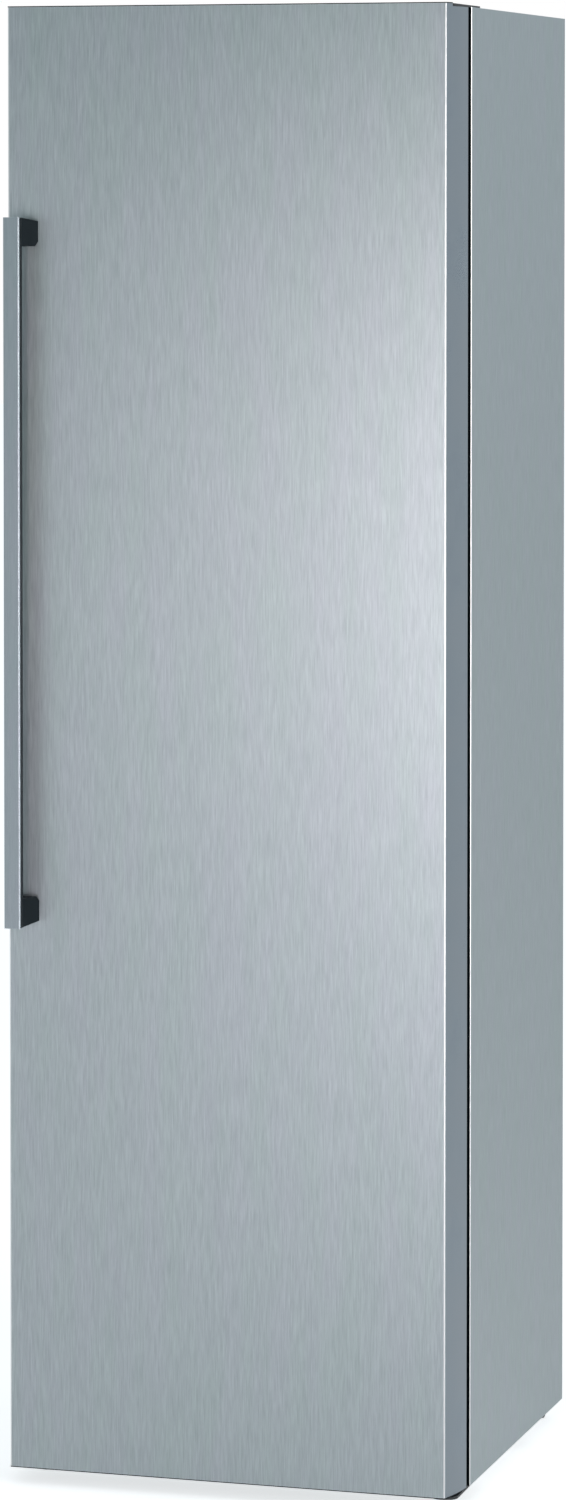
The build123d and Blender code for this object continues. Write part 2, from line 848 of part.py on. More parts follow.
def compressor_carrier():
    """The folded cross plate that carries the compressor and the two rollers."""
    low = carrier_bottom_z
    depth = (carrier_front_y, carrier_back_y)
    plate = block((-inner_half, inner_half), depth, (low, low + carrier_sheet))
    for side in (-1, 1):
        wall = sorted((side * inner_half, side * (inner_half - carrier_sheet)))
        plate += block(wall, depth, (low, low + carrier_wall))
        for reach in (-1, 1):
            inner = roller_middle(side) + reach * (roller_width / 2 + roller_side_gap)
            ear = block(
                sorted((inner, inner + reach * ear_thickness)),
                (roller_y - ear_half_length, roller_y + ear_half_length),
                (roller_radius - ear_below_axle, low + carrier_sheet / 2),
            )
            plate += fillet(ear.edges().filter_by(Axis.X).sort_by(Axis.Z)[:2], ear_rounding)
        plate -= axle(side)
    return plate


def roller_axles():
    """The two fixed pins that the rollers turn on."""
    return [axle(-1), axle(1)]


def rear_roller(side):
    """A transport roller at the rear."""
    middle = roller_middle(side)
    half = roller_width / 2
    wheel = along_x(roller_radius, (middle - half, middle + half), roller_y, roller_radius)
    wheel = chamfer(wheel.edges().filter_by(GeomType.CIRCLE), edge_chamfer)
    bore_range = (middle - half - 1, middle + half + 1)
    return wheel - along_x(axle_radius + running_gap, bore_range, roller_y, roller_radius)


def compressor_feet():
    """The rubber mounts between the carrier and the compressor."""
    low = carrier_bottom_z + carrier_sheet
    reach_x, reach_y = grommet_reach
    mounts = []
    for x in (compressor_x - reach_x, compressor_x + reach_x):
        for y in (compressor_y - reach_y, compressor_y + reach_y):
            mounts.append(upright(grommet_radius, x, y, (low, low + grommet_height)))
    return mounts


def compressor():
    """The sealed compressor shell on its foot plate, with its two pipe stubs."""
    x, y = compressor_x, compressor_y
    wide, deep = compressor_radii
    shell = plan_solid(Pos(x, y) * Ellipse(wide, deep), (compressor_base_z, compressor_top_z))
    shell = fillet(shell.edges(), compressor_rounding)
    seam = Pos(x, y) * Ellipse(wide + seam_reach, deep + seam_reach)
    shell += plan_solid(seam, (compressor_seam_z, compressor_seam_z + seam_height))
    neck = Pos(x, y) * Ellipse(wide * compressor_neck_share, deep * compressor_neck_share)
    shell += plan_solid(neck, (compressor_foot_z, compressor_base_z + compressor_neck_rise))
    half_x, half_y = compressor_foot_half
    foot = block((x - half_x, x + half_x), (y - half_y, y + half_y), (compressor_foot_z, compressor_base_z))
    shell += fillet(foot.edges().filter_by(Axis.Z), compressor_foot_corner)
    for stub_y in (discharge_y, suction_y):
        shell += along_x(stub_radius, (x + wide - stub_length, stub_end_x), stub_y, stub_z)
    return shell


def relay_box():
    """The box over the compressor's terminals, with the gland where a mains lead would enter."""
    x = compressor_x - compressor_radii[0] - seam_reach - seat_gap
    y = compressor_y
    length, depth, height = relay_size
    z = compressor_seam_z + relay_over_seam - height
    box = block((x - length, x), (y - depth / 2, y + depth / 2), (z, z + height))
    box = fillet(box.edges().filter_by(Axis.X), relay_rounding)
    gland_x = x - length / 2
    gland_z = z + height / 3
    back = y + depth / 2
    box += along_y(gland_radius, gland_x, (back - 1, back + gland_length), gland_z)
    return box - along_y(gland_bore_radius, gland_x, (back, back + gland_length + 1), gland_z)


def evaporating_tray():
    """The open tray on top of the compressor, where the thaw water dries off."""
    half_x, half_y = tray_half
    x, y = compressor_x, compressor_y
    top = tray_bottom_z + tray_height
    tray = block((x - half_x, x + half_x), (y - half_y, y + half_y), (tray_bottom_z, top))
    tray = fillet(tray.edges().filter_by(Axis.Z), tray_corner)
    half_x, half_y = half_x - tray_wall, half_y - tray_wall
    hollow = block((x - half_x, x + half_x), (y - half_y, y + half_y), (tray_bottom_z + tray_wall, top + 1))
    return tray - fillet(hollow.edges().filter_by(Axis.Z), tray_corner - tray_wall)


def filter_dryer():
    """The copper dryer at the end of the condenser."""
    shoulder = dryer_bottom_z + dryer_length
    body = upright(dryer_radius, dryer_x, dryer_y, (dryer_bottom_z, shoulder))
    body = fillet(body.edges().filter_by(GeomType.CIRCLE), dryer_rounding)
    neck = upright(dryer_neck_radius, dryer_x, dryer_y, (shoulder - dryer_rounding, dryer_top_z))
    return body + neck


def suction_pipe():
    """The return pipe from the evaporator, down through the insulation, to the compressor."""
    points = [
        (suction_x, coil_y, coil_first_run_z - coil_tube_radius - seat_gap),
        (suction_x, coil_y, stub_z + suction_drop),
        (suction_x, suction_y, stub_z),
        (stub_end_x, suction_y, stub_z),
    ]
    return pipe(points, pipe_radius, pipe_bend)


# ---- condenser ----


def condenser_tube():
    """The serpentine on the rear, from the compressor's stub up and back down to the dryer."""
    turn_x = condenser_half_span
    rise_x = turn_x + condenser_feed
    fall_z = bay_top_z - return_under_bay
    points = [
        (stub_end_x, discharge_y, stub_z),
        (rise_x, discharge_y, stub_z),
        (rise_x, condenser_y, stub_z),
        (rise_x, condenser_y, condenser_bottom_z),
    ]
    for run in range(condenser_runs):
        z = condenser_bottom_z + run * condenser_pitch
        side = 1 if run % 2 == 0 else -1
        if run > 0:
            points.append((side * turn_x, condenser_y, z))
        if run < condenser_runs - 1:
            points.append((-side * turn_x, condenser_y, z))
    points += [
        (dryer_x, condenser_y, condenser_top_z),
        (dryer_x, condenser_y, fall_z),
        (dryer_x, dryer_y, fall_z),
        (dryer_x, dryer_y, dryer_top_z),
    ]
    return pipe(points, condenser_tube_radius, condenser_bend)


def condenser_wires():
    """The upright wires on both faces of the serpentine."""
    heights = (condenser_bottom_z - wire_overhang, condenser_top_z + wire_overhang)
    offset = condenser_tube_radius + wire_clearance + wire_radius
    wires = []
    for i in range(wire_count):
        x = (i - (wire_count - 1) / 2) * wire_spacing
        for side in (-1, 1):
            wires.append(upright(wire_radius, x, condenser_y + side * offset, heights))
    return wires


def condenser_clips():
    """The four clips that hold the serpentine off the rear panel."""
    clips = []
    for run in (clip_run_low, condenser_runs - clip_run_high):
        z = condenser_bottom_z + run * condenser_pitch
        for side in (-1, 1):
            x = side * (wire_spacing * wire_count / 2 + clip_beside_wires)
            edges = (x - clip_half_width, x + clip_half_width)
            heights = (z - clip_half_height, z + clip_half_height)
            clip = block(edges, (cabinet_back_y - sheet, condenser_y), heights)
            clip = fillet(clip.edges().filter_by(Axis.X).sort_by(Axis.Y)[-2:], clip_rounding)
            groove_range = (edges[0] - 1, edges[1] + 1)
            groove = along_x(condenser_tube_radius + wire_clearance, groove_range, condenser_y, z)
            clips.append(clip - groove)
    return clips


def rear_spacers():
    """The two spacers that keep the wall away from the condenser."""
    top = cabinet_top_z - spacer_drop
    spacers = []
    for side in (-1, 1):
        x = side * (half_width - spacer_inset)
        edges = (x - spacer_half_width, x + spacer_half_width)
        spacer = block(edges, (cabinet_back_y - sheet, rear_y), (top - spacer_height, top))
        spacers.append(fillet(spacer.edges().filter_by(Axis.Y), spacer_corner))
    return spacers


# ---- feet ----


def levelling_foot(x):
    """A screw foot: a round pad under a stem."""
    pad = upright(foot_pad_radius, x, foot_y, (0, foot_pad_height))
    pad = chamfer(pad.edges().filter_by(GeomType.CIRCLE), edge_chamfer)
    return pad + upright(foot_stem_radius, x, foot_y, (foot_pad_height - 1, foot_stem_top_z))


# ---- hinges ----


def top_screw_places():
    return [(hinge_x + x, cabinet_front_y + y) for x, y in top_screws]


def bottom_screw_places():
    return [(hinge_x + x, cabinet_front_y + y) for x, y in bottom_screws]


def countersink(x, y):
    """A countersunk head's cone, level with the top plate's upper face."""
    middle = cabinet_top_z + top_hinge_plate - screw_head_height / 2
    return Pos(x, y, middle) * Cone(screw_radius, screw_head_radius, screw_head_height)


def top_hinge():
    """The plate on the cabinet's top, with the pin that the door hangs on."""
    low, high = cabinet_top_z, cabinet_top_z + top_hinge_plate
    rear = cabinet_front_y + hinge_plate_length
    wing_x = hinge_x - top_hinge_wing
    wing_y = cabinet_front_y + top_hinge_wing_start
    corners = [
        (hinge_x - top_hinge_nose, hinge_y),
        (hinge_x + top_hinge_nose, hinge_y),
        (hinge_x + top_hinge_nose, rear),
        (wing_x + top_hinge_wing_cut, rear),
        (wing_x, rear - top_hinge_wing_cut),
        (wing_x, wing_y),
        (hinge_x - top_hinge_nose, cabinet_front_y),
    ]
    outline = make_face(Polyline(corners, close=True)) + Pos(hinge_x, hinge_y) * Circle(top_hinge_nose)
    plate = plan_solid(outline, (low, high))
    pin_tip_z = hinge_recess_z - hinge_bush_height + hinge_pin_short
    plate += upright(hinge_pin_radius, hinge_x, hinge_y, (pin_tip_z, low + 1))
    for x, y in top_screw_places():
        plate -= upright(screw_radius, x, y, (low - 1, high + 1))
        plate -= countersink(x, y)
    return plate


def bottom_hinge():
    """The bracket under the cabinet, with the pin and the collar that carry the door."""
    low, high = bottom_hinge_z, cabinet_bottom_z
    rear = cabinet_front_y + hinge_plate_length
    nose = bottom_hinge_nose
    corners = [
        (hinge_x - nose, hinge_y),
        (hinge_x + nose - bottom_hinge_edge, hinge_y),
        (hinge_x + nose - 2 * bottom_hinge_edge, rear),
        (hinge_x - nose - bottom_hinge_flare, rear),
    ]
    outline = make_face(Polyline(corners, close=True)) + Pos(hinge_x, hinge_y) * Circle(nose)
    bracket = plan_solid(outline, (low, high))
    bracket -= block(
        (half_width - bottom_hinge_edge, half_width + nose),
        (hinge_y - nose - 1, hinge_y + nose),
        (low - 1, high + 1),
    )
    pin_top_z = door_bottom_z + hinge_bush_height - hinge_pin_short
    bracket += upright(hinge_bush_radius, hinge_x, hinge_y, (high - 1, door_bottom_z - seat_gap))
    bracket += upright(hinge_pin_radius, hinge_x, hinge_y, (high - 1, pin_top_z))
    for x, y in foot_centres():
        bracket -= upright(foot_stem_radius + seat_gap, x, y, (low - 1, high + 1))
    for x, y in bottom_screw_places():
        bracket -= upright(screw_radius, x, y, (low - 1, high + 1))
    return bracket


def hinge_screws():
    """Three countersunk screws in the top plate and two hexagon screws in the bottom bracket."""
    screws = []
    for x, y in top_screw_places():
        shank = upright(screw_radius, x, y, (top_screw_tip_z, cabinet_top_z + top_hinge_plate))
        screws.append(shank + countersink(x, y))
    for x, y in bottom_screw_places():
        head = extrude(Pos(x, y) * RegularPolygon(screw_head_radius, 6), hexagon_head_height)
        shank = upright(screw_radius, x, y, (bottom_hinge_z - 1, bottom_screw_tip_z))
        screws.append(Pos(0, 0, bottom_hinge_z - hexagon_head_height) * head + shank)
    return screws


def hinge_recess():
    """The space in the door's top corner that the hinge plate sweeps through."""
    return block(
        (hinge_x - top_hinge_nose - hinge_recess_side, half_width + 1),
        (door_front_y + hinge_recess_front, door_back_y + 1),
        (hinge_recess_z, door_top_z + 1),
    )


def hinge_bushes():
    """The two bushes in the door's caps that turn on the pins."""
    bushes = []
    for low in (hinge_recess_z - hinge_bush_height, door_bottom_z):
        high = low + hinge_bush_height
        ring = upright(hinge_bush_radius, hinge_x, hinge_y, (low, high))
        bore = upright(hinge_pin_radius + running_gap, hinge_x, hinge_y, (low - 1, high + 1))
        bushes.append(ring - bore)
    return bushes


# ---- door ----


def door_outline():
    """The door in plan: a flat front, gently bowed sides and a flat back."""
    bow_x, bow_y = trim_bow
    return make_face(
        [
            Line((-skin_half, door_front_y), (skin_half, door_front_y)),
            ThreePointArc((skin_half, door_front_y), (bow_x, bow_y), (half_width, door_back_y)),
            Line((half_width, door_back_y), (-half_width, door_back_y)),
            ThreePointArc((-half_width, door_back_y), (-bow_x, bow_y), (-skin_half, door_front_y)),
        ]
    )


def door_front_panel():
    """The steel front, with its two sides folded back behind the trims."""
    outer = block(
        (-skin_half, skin_half),
        (door_front_y, door_front_y + skin_return),
        (skin_bottom_z, skin_top_z),
    )
    outer = fillet(outer.edges().filter_by(Axis.Z).sort_by(Axis.Y)[:2], skin_edge_radius)
    hollow = block(
        (-skin_half + sheet, skin_half - sheet),
        (door_core_front_y, door_front_y + skin_return + 1),
        (skin_bottom_z - 1, skin_top_z + 1),
    )
    return outer - hollow


def door_trim():
    """The right side trim: a bowed profile that runs from the front's edge to the door's back."""
    tip = (skin_half, door_front_y + skin_edge_radius)
    rear = (half_width, door_back_y)
    leg = (half_width - trim_back_leg, door_back_y)
    leg_inner = (leg[0], door_back_y - trim_wall)
    inner_rear = (half_width - trim_back_wall, door_back_y - trim_wall)
    inner_bow = (trim_bow[0] - trim_wall, trim_bow[1] + trim_wall)
    inner_front = (skin_half, door_front_y + skin_return)
    section = make_face(
        [
            ThreePointArc(tip, trim_bow, rear),
            Line(rear, leg),
            Line(leg, leg_inner),
            Line(leg_inner, inner_rear),
            ThreePointArc(inner_rear, inner_bow, inner_front),
            Line(inner_front, tip),
        ]
    )
    return plan_solid(section, (skin_bottom_z, skin_top_z))


def door_cap(plate_range, plug_range, bush_range):
    """A door end cap: a thin plate on the end, and a plug inside the skins that holds the bush."""
    cap = plan_solid(door_outline(), plate_range)
    cap += block((-door_core_half, door_core_half), (door_core_front_y, door_core_back_y), plug_range)
    cap += upright(hinge_boss_radius, hinge_x, hinge_y, plug_range)
    return cap - upright(hinge_bush_radius, hinge_x, hinge_y, bush_range)


def door_top_cap():
    cap = door_cap(
        (skin_top_z, door_top_z),
        (skin_top_z - cap_plug, skin_top_z),
        (hinge_recess_z - hinge_bush_height, door_top_z + 1),
    )
    return cap - hinge_recess()


def door_bottom_cap():
    return door_cap(
        (door_bottom_z, skin_bottom_z),
        (skin_bottom_z, skin_bottom_z + cap_plug),
        (door_bottom_z - 1, door_bottom_z + hinge_bush_height),
    )


def door_pad(shrink):
    """The raised middle of the door's inner face, smaller by a wall for its hollow side."""
    half = cavity_half - door_pad_inset - shrink
    pad = block(
        (-half, half),
        (door_core_back_y - 1, door_back_y + door_pad_rise - shrink),
        (cavity_floor_z + door_pad_inset + shrink, cavity_top_z - door_pad_inset - shrink),
    )
    return fillet(pad.edges().filter_by(Axis.Y), liner_corner - shrink)


def door_inner_liner():
    """The moulded inner face of the door."""
    core = (-door_core_half, door_core_half)
    liner = block(core, (door_core_back_y, door_back_y), (skin_bottom_z, skin_top_z))
    liner = liner + door_pad(0.0) - door_pad(liner_wall)
    liner -= block(core, (door_core_back_y - 2, door_core_back_y), (skin_bottom_z, skin_top_z))
    return liner - hinge_recess()


def door_foam():
    """The insulation inside the door."""
    core = (-door_core_half, door_core_half)
    heights = (skin_bottom_z + cap_plug, skin_top_z - cap_plug)
    return block(core, (door_core_front_y, door_core_back_y), heights) + door_pad(liner_wall)


def mouth_frame(reach, y_range):
    """A slab that goes past the cavity's mouth by a distance all round, with rounded corners."""
    slab = block(
        (-cavity_half - reach, cavity_half + reach),
        y_range,
        (cavity_floor_z - reach, cavity_top_z + reach),
    )
    return fillet(slab.edges().filter_by(Axis.Y), gasket_corner + reach / 2)


def gasket_ring(inset, y_range):
    """A ring around the cavity's mouth, narrower than the gasket by an inset on both edges."""
    outer = mouth_frame(gasket_inner + gasket_width - inset, y_range)
    return outer - mouth_frame(gasket_inner + inset, y_range)


def door_gasket():
    """The magnetic gasket: a foot on the door, a narrow bellows and a wide sealing lip."""
    waist_y = door_back_y + gasket_foot
    lip_y = cabinet_front_y - gasket_lip
    ring = gasket_ring(gasket_foot_inset, (door_back_y, waist_y))
    ring += gasket_ring(gasket_waist_inset, (waist_y, lip_y))
    return ring + gasket_ring(0.0, (lip_y, cabinet_front_y - seat_gap))


# ---- handle ----


def handle_bar():
    """The metal face of the handle."""
    face = block(
        (handle_left_x, handle_right_x),
        (handle_front_y, handle_front_y + handle_face),
        (handle_bottom_z, handle_top_z),
    )
    return fillet(face.edges().filter_by(Axis.Z).sort_by(Axis.Y)[:2], handle_face / 2)


def handle_core():
    """The dark body behind the handle's face."""
    return block(
        (handle_left_x + handle_core_inset, handle_right_x - handle_core_inset),
        (handle_front_y + handle_face, handle_back_y),
        (handle_bottom_z + handle_core_inset, handle_top_z - handle_core_inset),
    )


def handle_bracket():
    """The upper bracket: it widens towards the door, and its outer end slopes down to it."""
    left = handle_left_x + bracket_left_inset
    right = handle_right_x - bracket_right_inset
    plan = [
        (left, handle_back_y),
        (right, handle_back_y),
        (right + bracket_flare, door_front_y),
        (left, door_front_y),
    ]
    top = handle_top_z - handle_core_inset
    low = top - bracket_height
    profile = [
        (handle_back_y, top),
        (door_front_y, top - bracket_slope),
        (door_front_y, low + bracket_chamfer),
        (door_front_y - bracket_chamfer, low),
        (handle_back_y, low),
    ]
    seen_from_above = plan_solid(make_face(Polyline(plan, close=True)), (low, top))
    return seen_from_above & side_solid(profile, (left - 1, right + bracket_flare + 1))


def handle_brackets():
    """The two brackets, mirrored about the handle's middle."""
    upper = handle_bracket()
    middle_z = (handle_bottom_z + handle_top_z) / 2
    return [upper, mirror(upper, about=Plane.XY.offset(middle_z))]


# ---- writing the pieces ----


def all_pieces():
    pieces = {
        "side_panel_right": side_panel(),
        "side_panel_left": mirrored(side_panel()),
        "top_panel": top_panel(),
        "back_panel": back_panel(),
        "top_front_rail": top_front_rail(),
        "bottom_front_rail": bottom_front_rail(),
        "bottom_pan": bottom_pan(),
        "cabinet_foam": cabinet_foam(),
        "inner_liner": inner_liner(),
        "glass_shelves": glass_shelves(),
        "evaporator_cover": evaporator_cover(),
        "evaporator_coil": evaporator_coil(),
        "defrost_heater": defrost_heater(),
        "drain_gutter": drain_gutter(),
        "fan_motor": fan_motor(),
        "evaporator_fan": evaporator_fan(),
        "lamp_cover": lamp_cover(),
        "control_panel": control_panel(),
        "display_window": display_window(),
        "compressor_carrier": compressor_carrier(),
        "roller_axles": roller_axles(),
        "rear_roller_left": rear_roller(-1),
        "rear_roller_right": rear_roller(1),
        "compressor_feet": compressor_feet(),
        "compressor": compressor(),
        "relay_box": relay_box(),
        "evaporating_tray": evaporating_tray(),
        "filter_dryer": filter_dryer(),
        "suction_pipe": suction_pipe(),
        "condenser_tube": condenser_tube(),
        "condenser_wires": condenser_wires(),
        "condenser_clips": condenser_clips(),
        "rear_spacers": rear_spacers(),
        "levelling_foot_left": levelling_foot(-foot_x),
        "levelling_foot_right": levelling_foot(foot_x),
        "top_hinge": top_hinge(),
        "bottom_hinge": bottom_hinge(),
        "hinge_screws": hinge_screws(),
        "hinge_bushes": hinge_bushes(),
        "door_front_panel": door_front_panel(),
        "door_trim_left": mirrored(door_trim()),
        "door_trim_right": door_trim() - hinge_recess(),
        "door_top_cap": door_top_cap(),
        "door_bottom_cap": door_bottom_cap(),
        "door_inner_liner": door_inner_liner(),
        "door_foam": door_foam(),
        "door_gasket": door_gasket(),
        "handle_bar": handle_bar(),
        "handle_core": handle_core(),
        "handle_brackets": handle_brackets(),
    }
    for name, x in button_places.items():
        pieces[name] = press_button(x)
    for number, (floor_z, ceiling_z, rear_limit) in enumerate(drawer_bays(), start=1):
        pieces[f"drawer_{number}"] = drawer(floor_z, ceiling_z, rear_limit)
    return pieces


def write(name, shape):
    """Writes one piece, or a group of separate solids, to its own file."""
    if isinstance(shape, list):
        solids = []
        for piece in shape:
            solids += piece.solids()
        shape = Compound(children=solids)
    export_step(shape, f"parts/{name}.step")


os.makedirs("parts", exist_ok=True)
for piece_name, piece_shape in all_pieces().items():
    write(piece_name, piece_shape)
    print("wrote", piece_name)
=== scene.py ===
import json
import math

import bmesh
import bpy
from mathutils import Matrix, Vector

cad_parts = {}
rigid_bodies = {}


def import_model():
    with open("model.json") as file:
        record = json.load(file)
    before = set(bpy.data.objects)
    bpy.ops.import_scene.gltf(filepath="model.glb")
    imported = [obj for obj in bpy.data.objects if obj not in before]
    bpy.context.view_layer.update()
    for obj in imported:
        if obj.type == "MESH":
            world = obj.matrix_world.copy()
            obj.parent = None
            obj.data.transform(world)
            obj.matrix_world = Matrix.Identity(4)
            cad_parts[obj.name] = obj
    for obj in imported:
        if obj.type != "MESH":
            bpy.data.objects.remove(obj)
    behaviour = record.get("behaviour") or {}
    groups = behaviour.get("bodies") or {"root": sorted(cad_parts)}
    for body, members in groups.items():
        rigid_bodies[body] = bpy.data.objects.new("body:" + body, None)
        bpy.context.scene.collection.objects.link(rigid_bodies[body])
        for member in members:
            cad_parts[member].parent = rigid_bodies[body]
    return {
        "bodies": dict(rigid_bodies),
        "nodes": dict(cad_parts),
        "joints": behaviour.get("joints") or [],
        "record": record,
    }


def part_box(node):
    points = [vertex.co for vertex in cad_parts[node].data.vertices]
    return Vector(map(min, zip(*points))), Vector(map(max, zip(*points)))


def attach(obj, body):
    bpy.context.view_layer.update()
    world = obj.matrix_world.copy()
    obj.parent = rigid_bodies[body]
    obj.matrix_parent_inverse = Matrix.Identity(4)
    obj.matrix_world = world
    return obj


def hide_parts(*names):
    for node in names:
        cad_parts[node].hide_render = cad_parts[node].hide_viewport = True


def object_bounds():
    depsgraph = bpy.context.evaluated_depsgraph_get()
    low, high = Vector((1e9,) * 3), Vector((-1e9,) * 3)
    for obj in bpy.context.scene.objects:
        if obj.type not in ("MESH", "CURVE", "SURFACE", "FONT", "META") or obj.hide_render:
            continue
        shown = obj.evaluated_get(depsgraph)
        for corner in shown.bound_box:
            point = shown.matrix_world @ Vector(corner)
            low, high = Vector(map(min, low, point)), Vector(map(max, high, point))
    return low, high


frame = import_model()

# An upright freezer with a brushed steel door, hinged on the right.
# Metres in the scene, millimetres in the dictionaries. Z is up and the front faces -Y.

cadLow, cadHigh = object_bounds()
nodes = frame["nodes"]
mm = 0.001


def corners(node):
    # a node's box in millimetres
    low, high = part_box(node)
    return [v / mm for v in low], [v / mm for v in high]


def middleOf(node):
    low, high = corners(node)
    return [(a + b) / 2 for a, b in zip(low, high)]


cabinetFront = corners("side_panel_right")[0][1]
foldRadius = 0.8  # of the side panels' front fold
foldGlintTurns = 2.2  # how far back the painted highlight on the fold goes, in fold radii
# how deep the painted shade on the cabinet's folded front strip reaches, in millimetres
flangeShadeDepth = 0.3
print("frame loaded,", len(nodes), "nodes")


# camera at the photograph's angle

photo = {"height": 1500, "focalPixels": 5190.2}
view = {
    "place": (1.93060, -6.44307, 1.65422),
    "turn": 16.74,  # degrees towards the left
    "tilt": 2.13,  # degrees down
    "shift": -0.25,
    "sensor": 36.0,
}


def addCamera():
    turn, tilt = math.radians(view["turn"]), math.radians(view["tilt"])
    ahead = Vector((-math.sin(turn) * math.cos(tilt), math.cos(turn) * math.cos(tilt), -math.sin(tilt)))
    data = bpy.data.cameras.new("photoCamera")
    data.sensor_width = view["sensor"]
    data.lens = photo["focalPixels"] / photo["height"] * view["sensor"]
    data.shift_y = view["shift"]
    data.clip_end = 60
    camera = bpy.data.objects.new("photoCamera", data)
    camera.location = view["place"]
    camera.rotation_mode = "QUATERNION"
    camera.rotation_quaternion = ahead.to_track_quat("-Z", "Y")
    bpy.context.scene.collection.objects.link(camera)
    bpy.context.scene.camera = camera


addCamera()


# soft studio light

softboxes = {
    # name: place, what it looks at, width, height, watts, tint
    "doorGlow": ((0.20, -3.20, 1.22), (0.25, -0.30, 1.30), 0.6, 1.2, 7.8, (1.0, 0.87, 0.86)),
    "lowGlow": ((0.30, -3.20, 0.35), (0.25, -0.30, 0.50), 0.8, 2.1, 13.5, (1.0, 0.89, 0.95)),
    "edgeStrip": ((3.2, -1.4, 1.1), (0.3, -0.2, 1.0), 1.1, 3.0, 49.0, (1.0, 0.95, 0.94)),
}


def addSoftbox(name, place, target, width, height, watts, tint):
    data = bpy.data.lights.new(name, "AREA")
    data.shape = "RECTANGLE"
    data.size, data.size_y = width, height
    data.energy = watts
    data.color = tint
    lamp = bpy.data.objects.new(name, data)
    lamp.location = place
    lamp.rotation_mode = "QUATERNION"
    lamp.rotation_quaternion = (Vector(target) - Vector(place)).to_track_quat("-Z", "Y")
    bpy.context.scene.collection.objects.link(lamp)


for name, settings in softboxes.items():
    addSoftbox(name, *settings)


# small helpers for node trees


def feed(tree, socket, value):
    if isinstance(value, bpy.types.NodeSocket):
        tree.links.new(value, socket)
    else:
        socket.default_value = value


def addNode(tree, kind, inputs=None, **settings):
    node = tree.nodes.new("ShaderNode" + kind)
    for name, value in settings.items():
        setattr(node, name, value)
    for name, value in (inputs or {}).items():
        feed(tree, node.inputs[name], value)
    return node


def calc(tree, operation, first, second=0.0, clamp=False):
    return addNode(tree, "Math", {0: first, 1: second}, operation=operation, use_clamp=clamp).outputs[0]


def spread(tree, value, low, high, fromLow=0.0, fromHigh=1.0):
    inputs = {"Value": value, "From Min": fromLow, "From Max": fromHigh, "To Min": low, "To Max": high}
    return addNode(tree, "MapRange", inputs).outputs["Result"]


def mixTint(tree, amount, first, second, how="MIX"):
    node = addNode(tree, "Mix", {0: amount, 6: first, 7: second}, data_type="RGBA", blend_type=how)
    return node.outputs[2]


def mixNumber(tree, amount, first, second):
    return addNode(tree, "Mix", {0: amount, 2: first, 3: second}, data_type="FLOAT").outputs[0]


def share(tree, value, fromLow, fromHigh):
    # how far a value is from the first number to the second, held between 0 and 1
    return spread(tree, value, 0.0, 1.0, fromLow, fromHigh)


def stretched(tree, across, along):
    # object coordinates counted in steps of a width across and a length upwards, in millimetres
    place = addNode(tree, "TexCoord").outputs["Object"]
    acrossSteps = calc(tree, "DIVIDE", 1000.0, across)
    alongSteps = calc(tree, "DIVIDE", 1000.0, along)
    steps = addNode(tree, "CombineXYZ", {"X": acrossSteps, "Y": acrossSteps, "Z": alongSteps}).outputs[0]
    return addNode(tree, "VectorMath", {0: place, 1: steps}, operation="MULTIPLY").outputs[0]


def noise(tree, across, along=None, detail=2.0, rough=0.5):
    # noise with patches of a width, and of a length upwards where it differs
    place = stretched(tree, across, across if along is None else along)
    inputs = {"Vector": place, "Scale": 1.0, "Detail": detail, "Roughness": rough}
    return addNode(tree, "TexNoise", inputs).outputs["Fac"]


# shader groups: each surface puts out a tone, a slow drift, a roughness share and a height


def brushedGrain(tree, given):
    # upright brushing: fine scratches, wider streaks and a slow drift across the sheet
    scratch = noise(tree, given["Scratch Width"], given["Scratch Length"], detail=3.0, rough=0.6)
    streak = noise(tree, given["Streak Width"], given["Streak Length"], detail=3.0, rough=0.65)
    driftLength = calc(tree, "MULTIPLY", given["Drift Width"], 7.0)
    drift = share(tree, noise(tree, given["Drift Width"], driftLength, detail=1.0), 0.3, 0.7)
    tone = calc(tree, "ADD", calc(tree, "MULTIPLY", scratch, 0.35), calc(tree, "MULTIPLY", streak, 0.65))
    return share(tree, tone, 0.36, 0.64), drift, share(tree, scratch, 0.25, 0.75), scratch


def mouldedGrain(tree, given):
    # fine spark-eroded grain with faint flow clouds
    place = stretched(tree, given["Grain Size"], given["Grain Size"])
    grain = noise(tree, given["Grain Size"], rough=0.6)
    pits = addNode(tree, "TexVoronoi", {"Vector": place, "Scale": 0.8}, feature="SMOOTH_F1")
    pitDepth = calc(tree, "MULTIPLY", pits.outputs["Distance"], 0.4)
    cloud = noise(tree, given["Cloud Size"], detail=3.0)
    rough = share(tree, calc(tree, "ADD", grain, cloud), 0.6, 1.4)
    height = calc(tree, "ADD", calc(tree, "MULTIPLY", grain, 0.6), pitDepth)
    return share(tree, grain, 0.25, 0.75), share(tree, cloud, 0.3, 0.7), rough, height


def lacquerPeel(tree, given):
    # the long low waves of sprayed enamel, with fine specks
    wave = noise(tree, given["Wave Size"], detail=1.0)
    speck = noise(tree, given["Speck Size"], detail=1.0)
    cloud = noise(tree, given["Cloud Size"])
    rough = share(tree, calc(tree, "ADD", cloud, speck), 0.7, 1.3)
    return share(tree, speck, 0.3, 0.7), share(tree, cloud, 0.3, 0.7), rough, wave


def zincSpangle(tree, given):
    # the flat crystals of a galvanised sheet
    place = stretched(tree, given["Crystal Size"], given["Crystal Size"])
    crystal = addNode(tree, "TexVoronoi", {"Vector": place, "Scale": 1.0}).outputs["Color"]
    shade = addNode(tree, "SeparateColor", {0: crystal}).outputs[0]
    haze = noise(tree, given["Haze Size"], detail=4.0)
    return shade, share(tree, haze, 0.3, 0.7), mixNumber(tree, 0.5, shade, haze), noise(tree, 0.6, 20.0)


def foamCells(tree, given):
    place = stretched(tree, given["Cell Size"], given["Cell Size"])
    cell = addNode(tree, "TexVoronoi", {"Vector": place, "Scale": 1.0}).outputs["Distance"]
    return cell, noise(tree, given["Cloud Size"], detail=4.0), cell, cell


